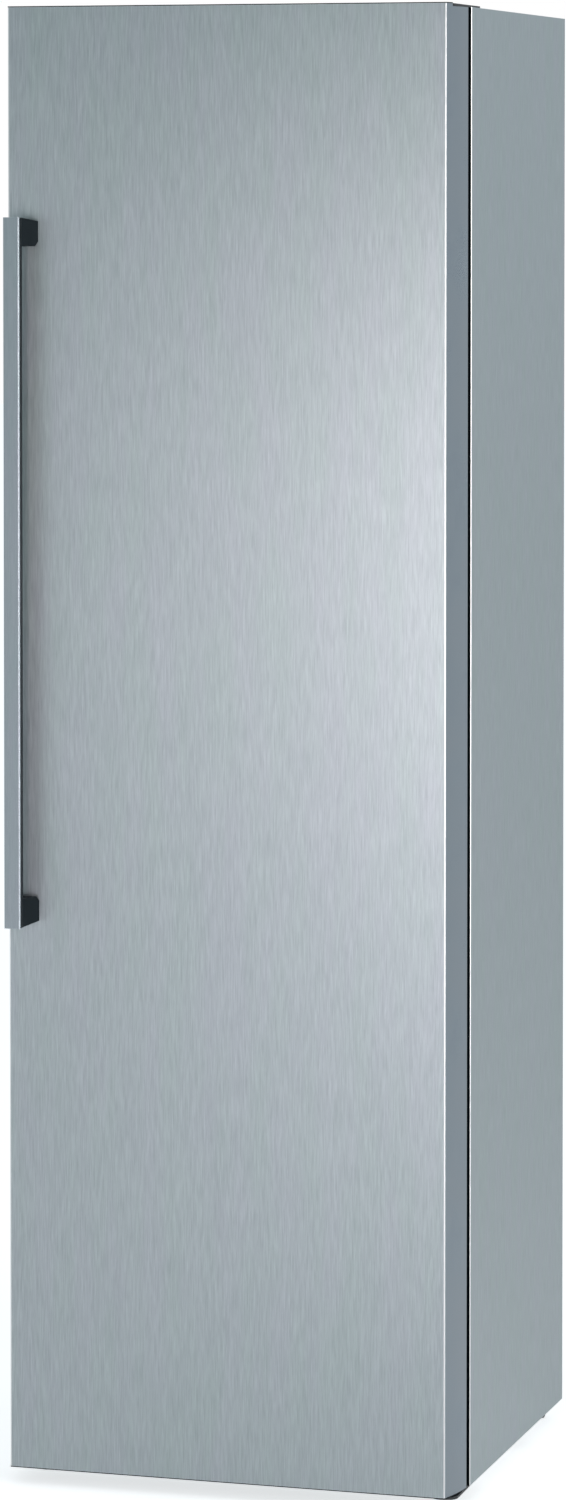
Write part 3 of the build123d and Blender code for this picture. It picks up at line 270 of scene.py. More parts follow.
def rubberSkin(tree, given):
    # matt rubber with a pale bloom in patches
    pore = noise(tree, given["Pore Size"], rough=0.7)
    bloom = noise(tree, given["Bloom Size"], detail=5.0, rough=0.65)
    rough = mixNumber(tree, 0.5, pore, bloom)
    return share(tree, pore, 0.3, 0.7), share(tree, bloom, 0.45, 0.75), rough, pore


def edgeWearAndGlint(tree, given):
    # a mask along convex and concave edges, broken up by noise; it lightens rubbed edges and also paints a
    # highlight along the edges
    reach = calc(tree, "MULTIPLY", given["Reach"], mm)
    softened = addNode(tree, "Bevel", {"Radius": reach}, samples=4).outputs["Normal"]
    straight = addNode(tree, "NewGeometry").outputs["Normal"]
    match = addNode(tree, "VectorMath", {0: softened, 1: straight}, operation="DOT_PRODUCT").outputs["Value"]
    breaks = noise(tree, given["Break Size"], detail=4.0, rough=0.7)
    return calc(tree, "MULTIPLY", spread(tree, match, 1.0, 0.0, 0.8, 0.995), share(tree, breaks, 0.35, 0.6)),


def settledDust(tree, given):
    # a mask of dust on what faces upwards, thicker in patches
    normal = addNode(tree, "NewGeometry").outputs["Normal"]
    up = addNode(tree, "SeparateXYZ", {0: normal}).outputs["Z"]
    patch = noise(tree, given["Patch Size"], detail=5.0, rough=0.6)
    fluff = noise(tree, 0.8)
    upwards = spread(tree, up, 0.12, 1.0, 0.2, 0.9)
    cover = calc(tree, "MULTIPLY", upwards, spread(tree, patch, 0.2, 1.0, 0.35, 0.65))
    cover = calc(tree, "MULTIPLY", cover, spread(tree, fluff, 0.5, 1.0, 0.3, 0.6))
    return calc(tree, "MULTIPLY", cover, given["Amount"], clamp=True),


def placeParts(tree):
    # where a point is in the row frame, in metres across, deep and up
    return addNode(tree, "SeparateXYZ", {0: addNode(tree, "TexCoord").outputs["Object"]}).outputs


def flangeShadeAndFoldGlint(tree, given):
    # masks for painted shade on the folded front strip that faces the door, and for a painted highlight along
    # the fold round it
    place = placeParts(tree)
    across = calc(tree, "ABSOLUTE", place["X"])
    depth = calc(tree, "SUBTRACT", place["Y"], calc(tree, "MULTIPLY", given["Front"], mm))
    turn = calc(tree, "MULTIPLY", given["Turn"], mm)
    isFront = calc(tree, "LESS_THAN", depth, flangeShadeDepth * mm)
    inside = calc(tree, "LESS_THAN", across, calc(tree, "SUBTRACT", cadHigh[0], turn))
    mask = calc(tree, "MULTIPLY", isFront, inside)
    near = calc(tree, "LESS_THAN", depth, calc(tree, "MULTIPLY", turn, foldGlintTurns))
    return mask, calc(tree, "MULTIPLY", near, calc(tree, "SUBTRACT", 1.0, mask))


def foldHighlight(tree, given):
    # a mask for a painted highlight along the fold where a sheet is folded back at its left and right edges
    edge = calc(tree, "MULTIPLY", calc(tree, "SUBTRACT", given["Half Width"], given["Width"]), mm)
    return calc(tree, "GREATER_THAN", calc(tree, "ABSOLUTE", placeParts(tree)["X"]), edge),


surfaceOutputs = ("Tone", "Drift", "Rough", "Height")
shaderGroups = (
    # what makes it, its inputs with their usual values in millimetres or shares, and its outputs
    (brushedGrain, {"Scratch Width": 0.6, "Scratch Length": 22.0, "Streak Width": 1.7, "Streak Length": 34.0,
                    "Drift Width": 24.0}, surfaceOutputs),
    (mouldedGrain, {"Grain Size": 0.7, "Cloud Size": 60.0}, surfaceOutputs),
    (lacquerPeel, {"Wave Size": 3.0, "Speck Size": 0.5, "Cloud Size": 90.0}, surfaceOutputs),
    (zincSpangle, {"Crystal Size": 7.0, "Haze Size": 45.0}, surfaceOutputs),
    (foamCells, {"Cell Size": 1.6, "Cloud Size": 40.0}, surfaceOutputs),
    (rubberSkin, {"Pore Size": 0.5, "Bloom Size": 14.0}, surfaceOutputs),
    (edgeWearAndGlint, {"Reach": 1.0, "Break Size": 8.0}, ("Mask",)),
    (settledDust, {"Amount": 0.5, "Patch Size": 30.0}, ("Mask",)),
    (flangeShadeAndFoldGlint, {"Front": cabinetFront, "Turn": foldRadius}, ("Mask", "Line")),
    (foldHighlight, {"Half Width": 297.0, "Width": 1.6}, ("Line",)),
)


def makeGroup(make, sizes, outputs):
    tree = bpy.data.node_groups.new(make.__name__, "ShaderNodeTree")
    for label, value in sizes.items():
        socket = tree.interface.new_socket(name=label, in_out="INPUT", socket_type="NodeSocketFloat")
        socket.default_value = value
    for label in outputs:
        tree.interface.new_socket(name=label, in_out="OUTPUT", socket_type="NodeSocketFloat")
    given = tree.nodes.new("NodeGroupInput").outputs
    out = tree.nodes.new("NodeGroupOutput").inputs
    for label, value in zip(outputs, make(tree, given)):
        feed(tree, out[label], value)


for settings in shaderGroups:
    makeGroup(*settings)
print("shader groups made")


# finishes: one dictionary entry for each material slot of the object

brushedSheet = {
    "surface": ("brushedGrain", {}), "rough": (0.32, 0.42), "bump": 0.008, "metal": 1.0, "turned": True,
    "shader": {"Anisotropic": 0.45}, "tints": ((0.43, 0.48, 0.497), (0.56, 0.615, 0.628)),
    # the edge tint is near white: a painted highlight along the sheet's edges
    "drift": ((0.972, 1.0, 0.985), (1.008, 0.99, 1.018)), "wearAndGlint": ((0.93, 0.96, 0.98), 1.0),
}

finishes = {
    # the door's folded edges get a painted highlight
    "brushedSteel": {**brushedSheet, "fold": corners("door_front_panel")[1][0]},
    # the cabinet's folded front strip is painted near black, a dark frame colour that also stands in for the
    # shade in the gap behind the door, and its fold gets a painted highlight
    "cabinetSteel": {**brushedSheet, "flangeShade": (0.006, 0.009, 0.011)},
    "satinTrim": {
        "surface": ("lacquerPeel", {"Wave Size": 2.2, "Speck Size": 0.25}), "rough": (0.27, 0.33),
        "bump": 0.012, "metal": 0.75, "tints": ((0.3, 0.345, 0.385), (0.325, 0.37, 0.41)),
        "drift": ((0.97, 0.99, 1.0), (1.02, 1.01, 1.0)), "wearAndGlint": ((0.5, 0.55, 0.6), 0.8),
    },
    "handleMetal": {
        "surface": ("brushedGrain", {"Scratch Width": 0.3, "Streak Width": 1.0, "Drift Width": 12.0}),
        "rough": (0.26, 0.33), "bump": 0.004, "metal": 1.0, "turned": True, "shader": {"Anisotropic": 0.3},
        "tints": ((0.43, 0.48, 0.515), (0.49, 0.54, 0.57)),
        "drift": ((0.97, 1.0, 0.99), (1.01, 0.99, 1.01)), "wearAndGlint": ((0.93, 0.96, 0.98), 1.0),
    },
    "darkPlastic": {
        "surface": ("mouldedGrain", {"Grain Size": 0.5}), "rough": (0.44, 0.56), "bump": 0.03,
        "shader": {"Specular IOR Level": 0.18},
        "tints": ((0.002, 0.0065, 0.0095), (0.0035, 0.0095, 0.0135)),
        "drift": ((0.9, 0.95, 1.0), (1.1, 1.05, 1.0)), "wearAndGlint": ((0.03, 0.045, 0.052), 0.6),
    },
    # near-black rails: a dark frame colour that also stands in for the shade in the gap behind the door
    "graphiteAndGapShade": {
        "surface": ("mouldedGrain", {"Grain Size": 0.6, "Cloud Size": 70.0}), "rough": (0.5, 0.62),
        "bump": 0.03, "shader": {"Specular IOR Level": 0.25},
        "tints": ((0.01, 0.013, 0.015), (0.014, 0.017, 0.019)), "drift": (0.9, 1.15),
    },
    "zincSteel": {
        "surface": ("zincSpangle", {}), "rough": (0.34, 0.52), "bump": 0.01, "metal": 0.9,
        "tints": ((0.4, 0.42, 0.44), (0.56, 0.58, 0.6)), "drift": ((0.88, 0.89, 0.9), 1.04),
        "wearAndGlint": ((0.66, 0.67, 0.68), 0.8), "dust": (0.35, 40.0),
    },
    "hingeSteel": {
        "surface": ("lacquerPeel", {"Wave Size": 1.6, "Cloud Size": 30.0}), "rough": (0.38, 0.5),
        "bump": 0.03, "tints": ((0.016, 0.019, 0.021), (0.024, 0.027, 0.03)), "drift": (0.9, 1.15),
        "wearAndGlint": (0.22, 0.8),
    },
    "boltZinc": {
        "surface": ("brushedGrain", {"Scratch Width": 0.4, "Scratch Length": 9.0, "Streak Length": 16.0}),
        "rough": (0.24, 0.38), "bump": 0.01, "metal": 1.0,
        "tints": ((0.5, 0.51, 0.52), (0.64, 0.65, 0.66)),
        "drift": ((0.93, 0.94, 0.95), (1.05, 1.04, 1.02)), "wearAndGlint": ((0.8, 0.8, 0.79), 0.7),
    },
    "topPlastic": {
        "surface": ("mouldedGrain", {"Grain Size": 1.1, "Cloud Size": 120.0}), "rough": (0.46, 0.6),
        "bump": 0.08, "tints": ((0.27, 0.295, 0.308), (0.31, 0.335, 0.348)),
        "drift": ((0.96, 0.97, 0.98), (1.03, 1.02, 1.01)), "dust": (0.14, 90.0),
    },
    "whiteLiner": {
        "surface": ("lacquerPeel", {"Wave Size": 9.0, "Speck Size": 0.6, "Cloud Size": 150.0}),
        "rough": (0.22, 0.34), "bump": 0.05, "shader": {"Coat Weight": 0.15, "Coat Roughness": 0.12},
        "tints": ((0.76, 0.78, 0.785), (0.8, 0.815, 0.815)),
        "drift": ((0.965, 0.975, 0.985), (1.0, 1.0, 0.995)),
    },
    "insulationFoam": {
        "surface": ("foamCells", {}), "rough": (0.8, 0.95), "bump": 0.35,
        "tints": ((0.62, 0.52, 0.27), (0.74, 0.65, 0.38)),
        "drift": ((0.9, 0.88, 0.85), (1.06, 1.05, 1.02)),
    },
    "gasketRubber": {
        "surface": ("rubberSkin", {"Pore Size": 0.4, "Bloom Size": 30.0}), "rough": (0.46, 0.6),
        "bump": 0.02, "tints": ((0.4, 0.42, 0.44), (0.46, 0.48, 0.5)), "drift": ((0.94, 0.95, 0.96), 1.04),
    },
    "blackRubber": {
        "surface": ("rubberSkin", {}), "rough": (0.62, 0.8), "bump": 0.04,
        "tints": ((0.02, 0.02, 0.021), (0.032, 0.032, 0.033)), "drift": (1.0, (1.7, 1.7, 1.65)),
        "dust": (0.45, 14.0),
    },
    "blackPlastic": {
        "surface": ("mouldedGrain", {"Grain Size": 0.8}), "rough": (0.42, 0.58), "bump": 0.05,
        "tints": ((0.018, 0.019, 0.02), (0.027, 0.028, 0.029)), "drift": (0.9, 1.2), "wearAndGlint": (0.09, 0.6),
        "dust": (0.4, 22.0),
    },
    "blackEnamel": {
        "surface": ("lacquerPeel", {"Wave Size": 3.5}), "rough": (0.24, 0.38), "bump": 0.1,
        "shader": {"Coat Weight": 0.3, "Coat Roughness": 0.2},
        "tints": ((0.012, 0.012, 0.013), (0.018, 0.018, 0.019)), "drift": (0.9, 1.15),
        "wearAndGlint": ((0.16, 0.15, 0.14), 0.7), "dust": (0.38, 35.0),
    },
    "copper": {
        "surface": ("lacquerPeel", {"Wave Size": 5.0, "Cloud Size": 18.0}), "rough": (0.24, 0.44),
        "bump": 0.02, "metal": 1.0, "tints": ((0.62, 0.3, 0.18), (0.74, 0.38, 0.24)),
        "drift": ((0.55, 0.48, 0.42), (1.06, 1.02, 1.0)),
    },
    "finAluminium": {
        "surface": ("brushedGrain", {"Scratch Length": 12.0, "Streak Length": 20.0}),
        "rough": (0.28, 0.42), "bump": 0.01, "metal": 1.0, "tints": ((0.68, 0.69, 0.7), (0.8, 0.81, 0.82)),
        "drift": ((0.93, 0.94, 0.95), 1.03),
    },
    "heaterMetal": {
        "surface": ("lacquerPeel", {"Wave Size": 2.0, "Cloud Size": 25.0}), "rough": (0.34, 0.5),
        "bump": 0.02, "metal": 1.0, "tints": ((0.34, 0.32, 0.3), (0.44, 0.42, 0.39)),
        "drift": ((0.8, 0.82, 0.9), (1.08, 1.02, 0.96)),
    },
    "fanPlastic": {
        "surface": ("mouldedGrain", {"Grain Size": 0.6}), "rough": (0.34, 0.48), "bump": 0.03,
        "tints": ((0.03, 0.032, 0.035), (0.042, 0.044, 0.047)),
        "drift": ((0.92, 0.93, 0.95), (1.08, 1.06, 1.05)),
    },
    "bushPlastic": {
        "surface": ("mouldedGrain", {"Grain Size": 0.4}), "rough": (0.32, 0.42), "bump": 0.02,
        "tints": ((0.72, 0.72, 0.69), (0.79, 0.79, 0.76)),
        "drift": ((0.94, 0.94, 0.92), (1.02, 1.02, 1.01)),
    },
    "controlPlastic": {
        "surface": ("mouldedGrain", {"Grain Size": 0.45, "Cloud Size": 80.0}), "rough": (0.34, 0.46),
        "bump": 0.025, "tints": ((0.69, 0.705, 0.715), (0.735, 0.75, 0.755)),
        "drift": ((0.97, 0.98, 0.985), (1.01, 1.01, 1.0)),
    },
    "buttonPlastic": {
        "surface": ("mouldedGrain", {"Grain Size": 0.3, "Cloud Size": 9.0}), "rough": (0.3, 0.42),
        "bump": 0.015, "tints": ((0.4, 0.415, 0.425), (0.45, 0.465, 0.475)),
        "drift": ((0.95, 0.96, 0.97), (1.04, 1.03, 1.03)),
    },
    "displayPane": {
        "surface": ("lacquerPeel", {"Wave Size": 14.0, "Speck Size": 0.3, "Cloud Size": 30.0}),
        "rough": (0.05, 0.11), "bump": 0.004, "shader": {"Coat Weight": 0.8, "Coat Roughness": 0.03},
        "tints": ((0.0055, 0.006, 0.007), (0.008, 0.0085, 0.01)),
        "drift": ((0.9, 0.9, 0.95), (1.2, 1.2, 1.3)),
    },
    "shelfGlass": {
        "surface": ("lacquerPeel", {"Wave Size": 60.0, "Speck Size": 0.8, "Cloud Size": 70.0}),
        "rough": (0.01, 0.05), "bump": 0.02, "shader": {"Transmission Weight": 1.0, "IOR": 1.52},
        "tints": ((0.8, 0.93, 0.89), (0.86, 0.97, 0.94)), "drift": ((0.98, 1.0, 0.99), 1.0),
    },
    "clearPlastic": {
        "surface": ("lacquerPeel", {"Wave Size": 22.0, "Speck Size": 0.5, "Cloud Size": 80.0}),
        "rough": (0.08, 0.16), "bump": 0.04, "shader": {"Transmission Weight": 0.55, "IOR": 1.4},
        "tints": ((0.84, 0.915, 0.945), (0.88, 0.945, 0.97)), "drift": ((0.98, 0.99, 1.0), 1.0),
    },
    "lampLens": {
        "surface": ("mouldedGrain", {"Grain Size": 1.0, "Cloud Size": 40.0}), "rough": (0.22, 0.34),
        "bump": 0.03, "shader": {"Transmission Weight": 0.35, "IOR": 1.5},
        "tints": ((0.88, 0.9, 0.91), (0.93, 0.95, 0.96)), "drift": ((0.98, 0.99, 1.0), 1.0), "glow": 14.0,
    },
    "lightDigit": {
        "surface": ("mouldedGrain", {"Grain Size": 0.25, "Cloud Size": 6.0}), "rough": (0.3, 0.4),
        "bump": 0.002, "tints": ((0.3, 0.8, 0.92), (0.42, 0.92, 1.0)), "drift": ((0.92, 0.95, 0.97), 1.0),
        "glow": 1.6,
    },
    "iconInk": {
        "surface": ("mouldedGrain", {"Grain Size": 0.2, "Cloud Size": 5.0}), "rough": (0.45, 0.55),
        "bump": 0.004, "tints": ((0.06, 0.065, 0.07), (0.085, 0.09, 0.095)), "drift": (0.95, 1.05),
    },
}

materials = {}
# white of the painted highlight along the folds
paintedFoldGlint = 1.0
# roughness under the painted shade on the cabinet's folded front strip
flangeShadeRough = 0.6
dustTint = (0.36, 0.35, 0.33)
dustRough = 0.9


def placeGroup(tree, name, values=None):
    node = tree.nodes.new("ShaderNodeGroup")
    node.node_tree = bpy.data.node_groups[name]
    for label, value in (values or {}).items():
        feed(tree, node.inputs[label], value)
    return node.outputs


def opaque(tint):
    # a colour for a socket, from three parts or from one grey
    return (*tint, 1.0) if isinstance(tint, tuple) else (tint, tint, tint, 1.0)


def makeFinish(name, look):
    material = bpy.data.materials.new(name)
    material.use_nodes = True
    tree = material.node_tree
    shader = tree.nodes["Principled BSDF"]
    shader.inputs["Metallic"].default_value = look.get("metal", 0.0)
    for label, value in look.get("shader", {}).items():
        shader.inputs[label].default_value = value
    group, sizes = look["surface"]
    surface = placeGroup(tree, group, sizes)
    colour = mixTint(tree, surface["Tone"], *map(opaque, look["tints"]))
    drift = mixTint(tree, surface["Drift"], *map(opaque, look["drift"]))
    colour = mixTint(tree, 1.0, colour, drift, "MULTIPLY")
    rough = spread(tree, surface["Rough"], *look["rough"])
    # lighter edges: partly rubbed, partly a painted highlight along the edges
    if "wearAndGlint" in look:
        tint, amount = look["wearAndGlint"]
        wornAndGlint = calc(tree, "MULTIPLY", placeGroup(tree, "edgeWearAndGlint")["Mask"], amount)
        colour = mixTint(tree, wornAndGlint, colour, opaque(tint))
        rough = mixNumber(tree, wornAndGlint, rough, look["rough"][0])
    # painted shade on the cabinet's folded front strip, and a painted highlight along its fold
    if "flangeShade" in look:
        flangeShade = placeGroup(tree, "flangeShadeAndFoldGlint")
        colour = mixTint(tree, flangeShade["Mask"], colour, opaque(look["flangeShade"]))
        rough = mixNumber(tree, flangeShade["Mask"], rough, flangeShadeRough)
        colour = mixTint(tree, flangeShade["Line"], colour, opaque(paintedFoldGlint))
    # a painted highlight along the door's folded edges
    if "fold" in look:
        line = placeGroup(tree, "foldHighlight", {"Half Width": look["fold"]})["Line"]
        colour = mixTint(tree, line, colour, opaque(paintedFoldGlint))
    if "dust" in look:
        amount, patch = look["dust"]
        dusty = placeGroup(tree, "settledDust", {"Amount": amount, "Patch Size": patch})["Mask"]
        colour = mixTint(tree, dusty, colour, opaque(dustTint))
        rough = mixNumber(tree, dusty, rough, dustRough)
    feed(tree, shader.inputs["Base Color"], colour)
    feed(tree, shader.inputs["Roughness"], rough)
    relief = {"Strength": 1.0, "Distance": look["bump"] * mm, "Height": surface["Height"]}
    bump = addNode(tree, "Bump", relief)
    feed(tree, shader.inputs["Normal"], bump.outputs["Normal"])
    if look.get("turned"):
        # the brushing runs upwards, so gloss spreads sideways
        tangent = addNode(tree, "Tangent", direction_type="RADIAL", axis="Z")
        feed(tree, shader.inputs["Tangent"], tangent.outputs["Tangent"])
    if "glow" in look:
        feed(tree, shader.inputs["Emission Color"], colour)
        shader.inputs["Emission Strength"].default_value = look["glow"]
    materials[name] = material


for name, look in finishes.items():
    makeFinish(name, look)
print("finishes made:", len(materials))


finishOfNodes = {
    "brushedSteel": "door_front_panel",
    "cabinetSteel": "side_panel_left side_panel_right",
    # the rails' near-black paint also stands in for the shade in the door gap
    "graphiteAndGapShade": "top_front_rail bottom_front_rail",
    "satinTrim": "door_trim_left door_trim_right",
    "darkPlastic": "door_top_cap door_bottom_cap handle_core handle_brackets rear_spacers condenser_clips",
    "handleMetal": "handle_bar",
    "zincSteel": "back_panel bottom_pan compressor_carrier",
    "hingeSteel": "top_hinge bottom_hinge",
    "boltZinc": "hinge_screws roller_axles",
    "topPlastic": "top_panel",
    "whiteLiner": "inner_liner door_inner_liner evaporator_cover drain_gutter",
    "insulationFoam": "cabinet_foam door_foam",
    "shelfGlass": "glass_shelves",
    "lampLens": "lamp_cover",
    "controlPlastic": "control_panel",
    "displayPane": "display_window",
    "buttonPlastic": "power_button freeze_button temperature_button",
    "finAluminium": "evaporator_coil",
    "heaterMetal": "defrost_heater",
    "fanPlastic": "evaporator_fan fan_motor",
    "blackEnamel": "compressor condenser_tube condenser_wires",
    "blackPlastic": "relay_box evaporating_tray levelling_foot_left levelling_foot_right "
                    "rear_roller_left rear_roller_right",
    "copper": "filter_dryer suction_pipe",
    "blackRubber": "compressor_feet",
    "gasketRubber": "door_gasket",
    "bushPlastic": "hinge_bushes",
    "clearPlastic": "drawer_1 drawer_2 drawer_3 drawer_4 drawer_5 drawer_6 drawer_7",
}


def dressNodes():
    for finish, names in finishOfNodes.items():
        for name in names.split():
            node = nodes[name]
            node.data.materials.clear()
            node.data.materials.append(materials[finish])
    print("nodes dressed:", sum(len(names.split()) for names in finishOfNodes.values()))


dressNodes()


# the pale studio round the object

studio = {
    "front": (0.335, 0.400, 0.415),
    "behind": (0.515, 0.560, 0.590),
    "above": (0.300, 0.320, 0.335),
    "behindFrom": (-0.2, 0.45),  # how far a direction points back where that tint starts and is full
    "aboveFrom": (0.30, 0.90),  # the same, upwards
    "floorTints": ((0.84, 0.85, 0.86), (0.88, 0.885, 0.89)),
    "floorRough": (0.85, 0.95),
    "floorLight": (0.96, 0.99, 1.0),
    "floorGlow": 0.22,  # what the floor gives back to the object
    "floorLift": 0.70,  # what lifts the floor to the backdrop's white for the camera
    "floorReach": 30,  # metres
}


def addWorld():
    # white to the camera, and a soft grey studio to everything else
    world = bpy.data.worlds.new("studio")
    bpy.context.scene.world = world
    world.use_nodes = True
    tree = world.node_tree
    tree.nodes.clear()
    direction = addNode(tree, "TexCoord").outputs["Generated"]
    parts = addNode(tree, "SeparateXYZ", {0: direction}).outputs
    behind = share(tree, parts["Y"], *studio["behindFrom"])
    above = share(tree, parts["Z"], *studio["aboveFrom"])
    tint = mixTint(tree, behind, opaque(studio["front"]), opaque(studio["behind"]))
    tint = mixTint(tree, above, tint, opaque(studio["above"]))
    walls = addNode(tree, "Background", {"Color": tint, "Strength": 1.0}).outputs[0]
    plain = addNode(tree, "Background", {"Color": opaque(1.0), "Strength": 1.0}).outputs[0]
    seen = addNode(tree, "LightPath").outputs["Is Camera Ray"]
    mixed = addNode(tree, "MixShader", {0: seen, 1: walls, 2: plain}).outputs[0]
    addNode(tree, "OutputWorld", {"Surface": mixed})
    bpy.context.scene.view_settings.view_transform = "Standard"


addWorld()


def addFloor():
    mesh = bpy.data.meshes.new("floor")
    reach = studio["floorReach"]
    ends = [(-reach, -reach, 0), (reach, -reach, 0), (reach, reach, 0), (-reach, reach, 0)]
    mesh.from_pydata(ends, [], [(0, 1, 2, 3)])
    floor = bpy.data.objects.new("floor", mesh)
    material = bpy.data.materials.new("paleFloor")
    material.use_nodes = True
    tree = material.node_tree
    shader = tree.nodes["Principled BSDF"]
    fleck = noise(tree, 4.0, detail=3.0)
    colour = mixTint(tree, fleck, *map(opaque, studio["floorTints"]))
    feed(tree, shader.inputs["Base Color"], colour)
    feed(tree, shader.inputs["Roughness"], spread(tree, fleck, *studio["floorRough"]))
    shader.inputs["Specular IOR Level"].default_value = 0.0
    # lifts the floor to the white of the backdrop for the camera, and keeps the contact shadow
    seen = addNode(tree, "LightPath").outputs["Is Camera Ray"]
    level = spread(tree, seen, studio["floorGlow"], studio["floorLift"])
    lift = addNode(tree, "Emission", {"Color": opaque(studio["floorLight"]), "Strength": level})
    both = addNode(tree, "AddShader", {0: shader.outputs[0], 1: lift.outputs[0]}).outputs[0]
    feed(tree, tree.nodes["Material Output"].inputs["Surface"], both)
    mesh.materials.append(material)
    bpy.context.scene.collection.objects.link(floor)


addFloor()
print("world and floor made")


# mesh helpers, in millimetres of the row frame


def turns(sides):
    # the cosine and sine at equal steps of a full turn
    angles = [2 * math.pi * k / sides for k in range(sides)]
    return [(math.cos(a), math.sin(a)) for a in angles]


def roundedLoop(low, high, radius, inset=0.0, backRadius=None, steps=4):
    # points round a rectangle with rounded corners; the back corners may have their own radius
    xLow, xHigh, yLow, yHigh = low[0] + inset, high[0] - inset, low[1] + inset, high[1] - inset
    backRadius = radius if backRadius is None else backRadius
    rounds = ((xHigh, yLow, -1, 1, radius, -90), (xHigh, yHigh, -1, -1, backRadius, 0),
              (xLow, yHigh, 1, -1, backRadius, 90), (xLow, yLow, 1, 1, radius, 180))
    points = []
    for x, y, xSide, ySide, size, start in rounds:
        for step in range(steps + 1):
            angle = math.radians(start + 90 * step / steps)
            points.append((x + size * (xSide + math.cos(angle)), y + size * (ySide + math.sin(angle))))
    return points


def flat(points, z):
    return [(x, y, z) for x, y in points]


def upright(points, y):
    return [(x, y, z) for x, z in points]


def frontal(point):
    return point[0], point[2]


def skin(mesh, first, second):
    for i in range(len(first)):
        j = (i + 1) % len(first)
        mesh.faces.new((first[i], first[j], second[j], second[i]))


def loft(mesh, loops, joined=False):
    # skins loops of equal length; a joined loft closes on itself, any other gets two end faces
    rings = [[mesh.verts.new(point) for point in loop] for loop in loops]
    for first, second in zip(rings, rings[1:]):
        skin(mesh, first, second)
    if joined:
        skin(mesh, rings[-1], rings[0])
    else:
        mesh.faces.new(reversed(rings[0]))
        mesh.faces.new(rings[-1])


def lathe(mesh, profile, centre, axis="Z", sides=32, ripple=None, joined=False):
    # turns (radius, height) pairs about an axis; ripple(angle, height) adds to the radius
    loops = []
    for radius, height in profile:
        loop = []
        for side in range(sides):
            angle = 2 * math.pi * side / sides
            reach = radius + (ripple(angle, height) if ripple else 0.0)
            a, b = reach * math.cos(angle), reach * math.sin(angle)
            offset = {"X": (height, a, b), "Y": (b, height, a), "Z": (a, b, height)}[axis]
            loop.append(Vector(centre) + Vector(offset))
        loops.append(loop)
    loft(mesh, loops, joined)


def tube(mesh, points, radius, sides=8, joined=False):
    points = [Vector(point) for point in points]
    loops = []
    side = None
    for i, point in enumerate(points):
        before = points[i - 1] if i or joined else point
        after = points[(i + 1) % len(points)] if i < len(points) - 1 or joined else point
        ahead = (after - before).normalized()
        side = ahead.orthogonal() if side is None else side
        side = (side - ahead * side.dot(ahead)).normalized()
        across = ahead.cross(side)
        loops.append([point + (side * c + across * s) * radius for c, s in turns(sides)])
    loft(mesh, loops, joined)


def slab(mesh, low, high, rounding):
    # a block with rounded edges all round
    steps = 2
    # less than half of the shortest side
    rounding = min([rounding] + [(b - a) / 2.2 for a, b in zip(low, high)])
    angles = [math.radians(90 * step / steps) for step in reversed(range(steps + 1))]
    levels = [(low[2] + rounding * (1 - math.sin(a)), rounding * (1 - math.cos(a))) for a in angles]
    levels += [(high[2] + low[2] - z, inset) for z, inset in reversed(levels)]
    loft(mesh, [flat(roundedLoop(low, high, max(rounding - inset, 0.05), inset, steps=steps), z)
                for z, inset in levels])


# slots that aren't called after their finish
slotNames = {"insulationFoam": "foam", "lightDigit": "display_pane", "iconInk": "button_plastic",
             "boltZinc": "hinge_steel"}


def slotOf(finish):
    return slotNames.get(finish, "".join("_" + c.lower() if c.isupper() else c for c in finish))


def finishPiece(name, mesh, finish, body, replaced=(), sharp=35):
    bmesh.ops.recalc_face_normals(mesh, faces=mesh.faces)
    bmesh.ops.scale(mesh, vec=(mm, mm, mm), verts=mesh.verts)
    data = bpy.data.meshes.new(name)
    mesh.to_mesh(data)
    mesh.free()
    for face in data.polygons:
        face.use_smooth = True
    data.set_sharp_from_angle(angle=math.radians(sharp))
    data.materials.append(materials[finish])
    piece = bpy.data.objects.new(name, data)
    bpy.context.scene.collection.objects.link(piece)
    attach(piece, body)
    slotOf(finish)
    if replaced:
        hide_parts(*replaced)


# the door's magnetic gasket: a heel in the liner, two bellows folds and a wide lip

gasket = {
    "reach": 26.0,  # from the cavity's mouth out to the lip
    "corner": 6.0,
    # reach from the mouth, and depth from the door's back
    "section": ((7.5, 0.0), (24.5, 0.0), (24.8, 1.6), (22.4, 2.4), (21.6, 3.4), (24.2, 5.0), (24.3, 6.0),
                (21.0, 7.4), (20.8, 8.2), (23.6, 9.8), (23.4, 10.9), (22.6, 11.6), (25.6, 12.2), (26.0, 13.0),
                (26.0, 16.4), (25.2, 17.5), (16.4, 17.7), (15.6, 17.7), (6.8, 17.5), (6.0, 16.4), (6.0, 13.0),
                (6.4, 12.2), (9.4, 11.6), (8.6, 10.9), (8.4, 9.8), (11.2, 8.2), (11.0, 7.4), (7.7, 6.0),
                (7.8, 5.0), (10.4, 3.4), (9.6, 2.4), (7.2, 1.6)),
}


def addGasket():
    low, high = corners("door_gasket")
    mesh = bmesh.new()
    loops = []
    for reach, depth in gasket["section"]:
        loop = roundedLoop(frontal(low), frontal(high), gasket["corner"] + reach / 2,
                           gasket["reach"] - reach, steps=6)
        loops.append(upright(loop, low[1] + depth))
    loft(mesh, loops, joined=True)
    finishPiece("gasketBellows", mesh, "gasketRubber", "door", ("door_gasket",), sharp=50)


# raised beads on the pad of the door's inner face

doorPad = {
    "half": 225.5, "bottom": 107.0, "top": 1768.0, "insets": (16.0, 30.0), "corner": 10.0,
    "beadRadius": 1.0, "crossBeads": 6, "crossInset": 48.0, "crossRise": 60.0, "crossCorner": 18.0,
}


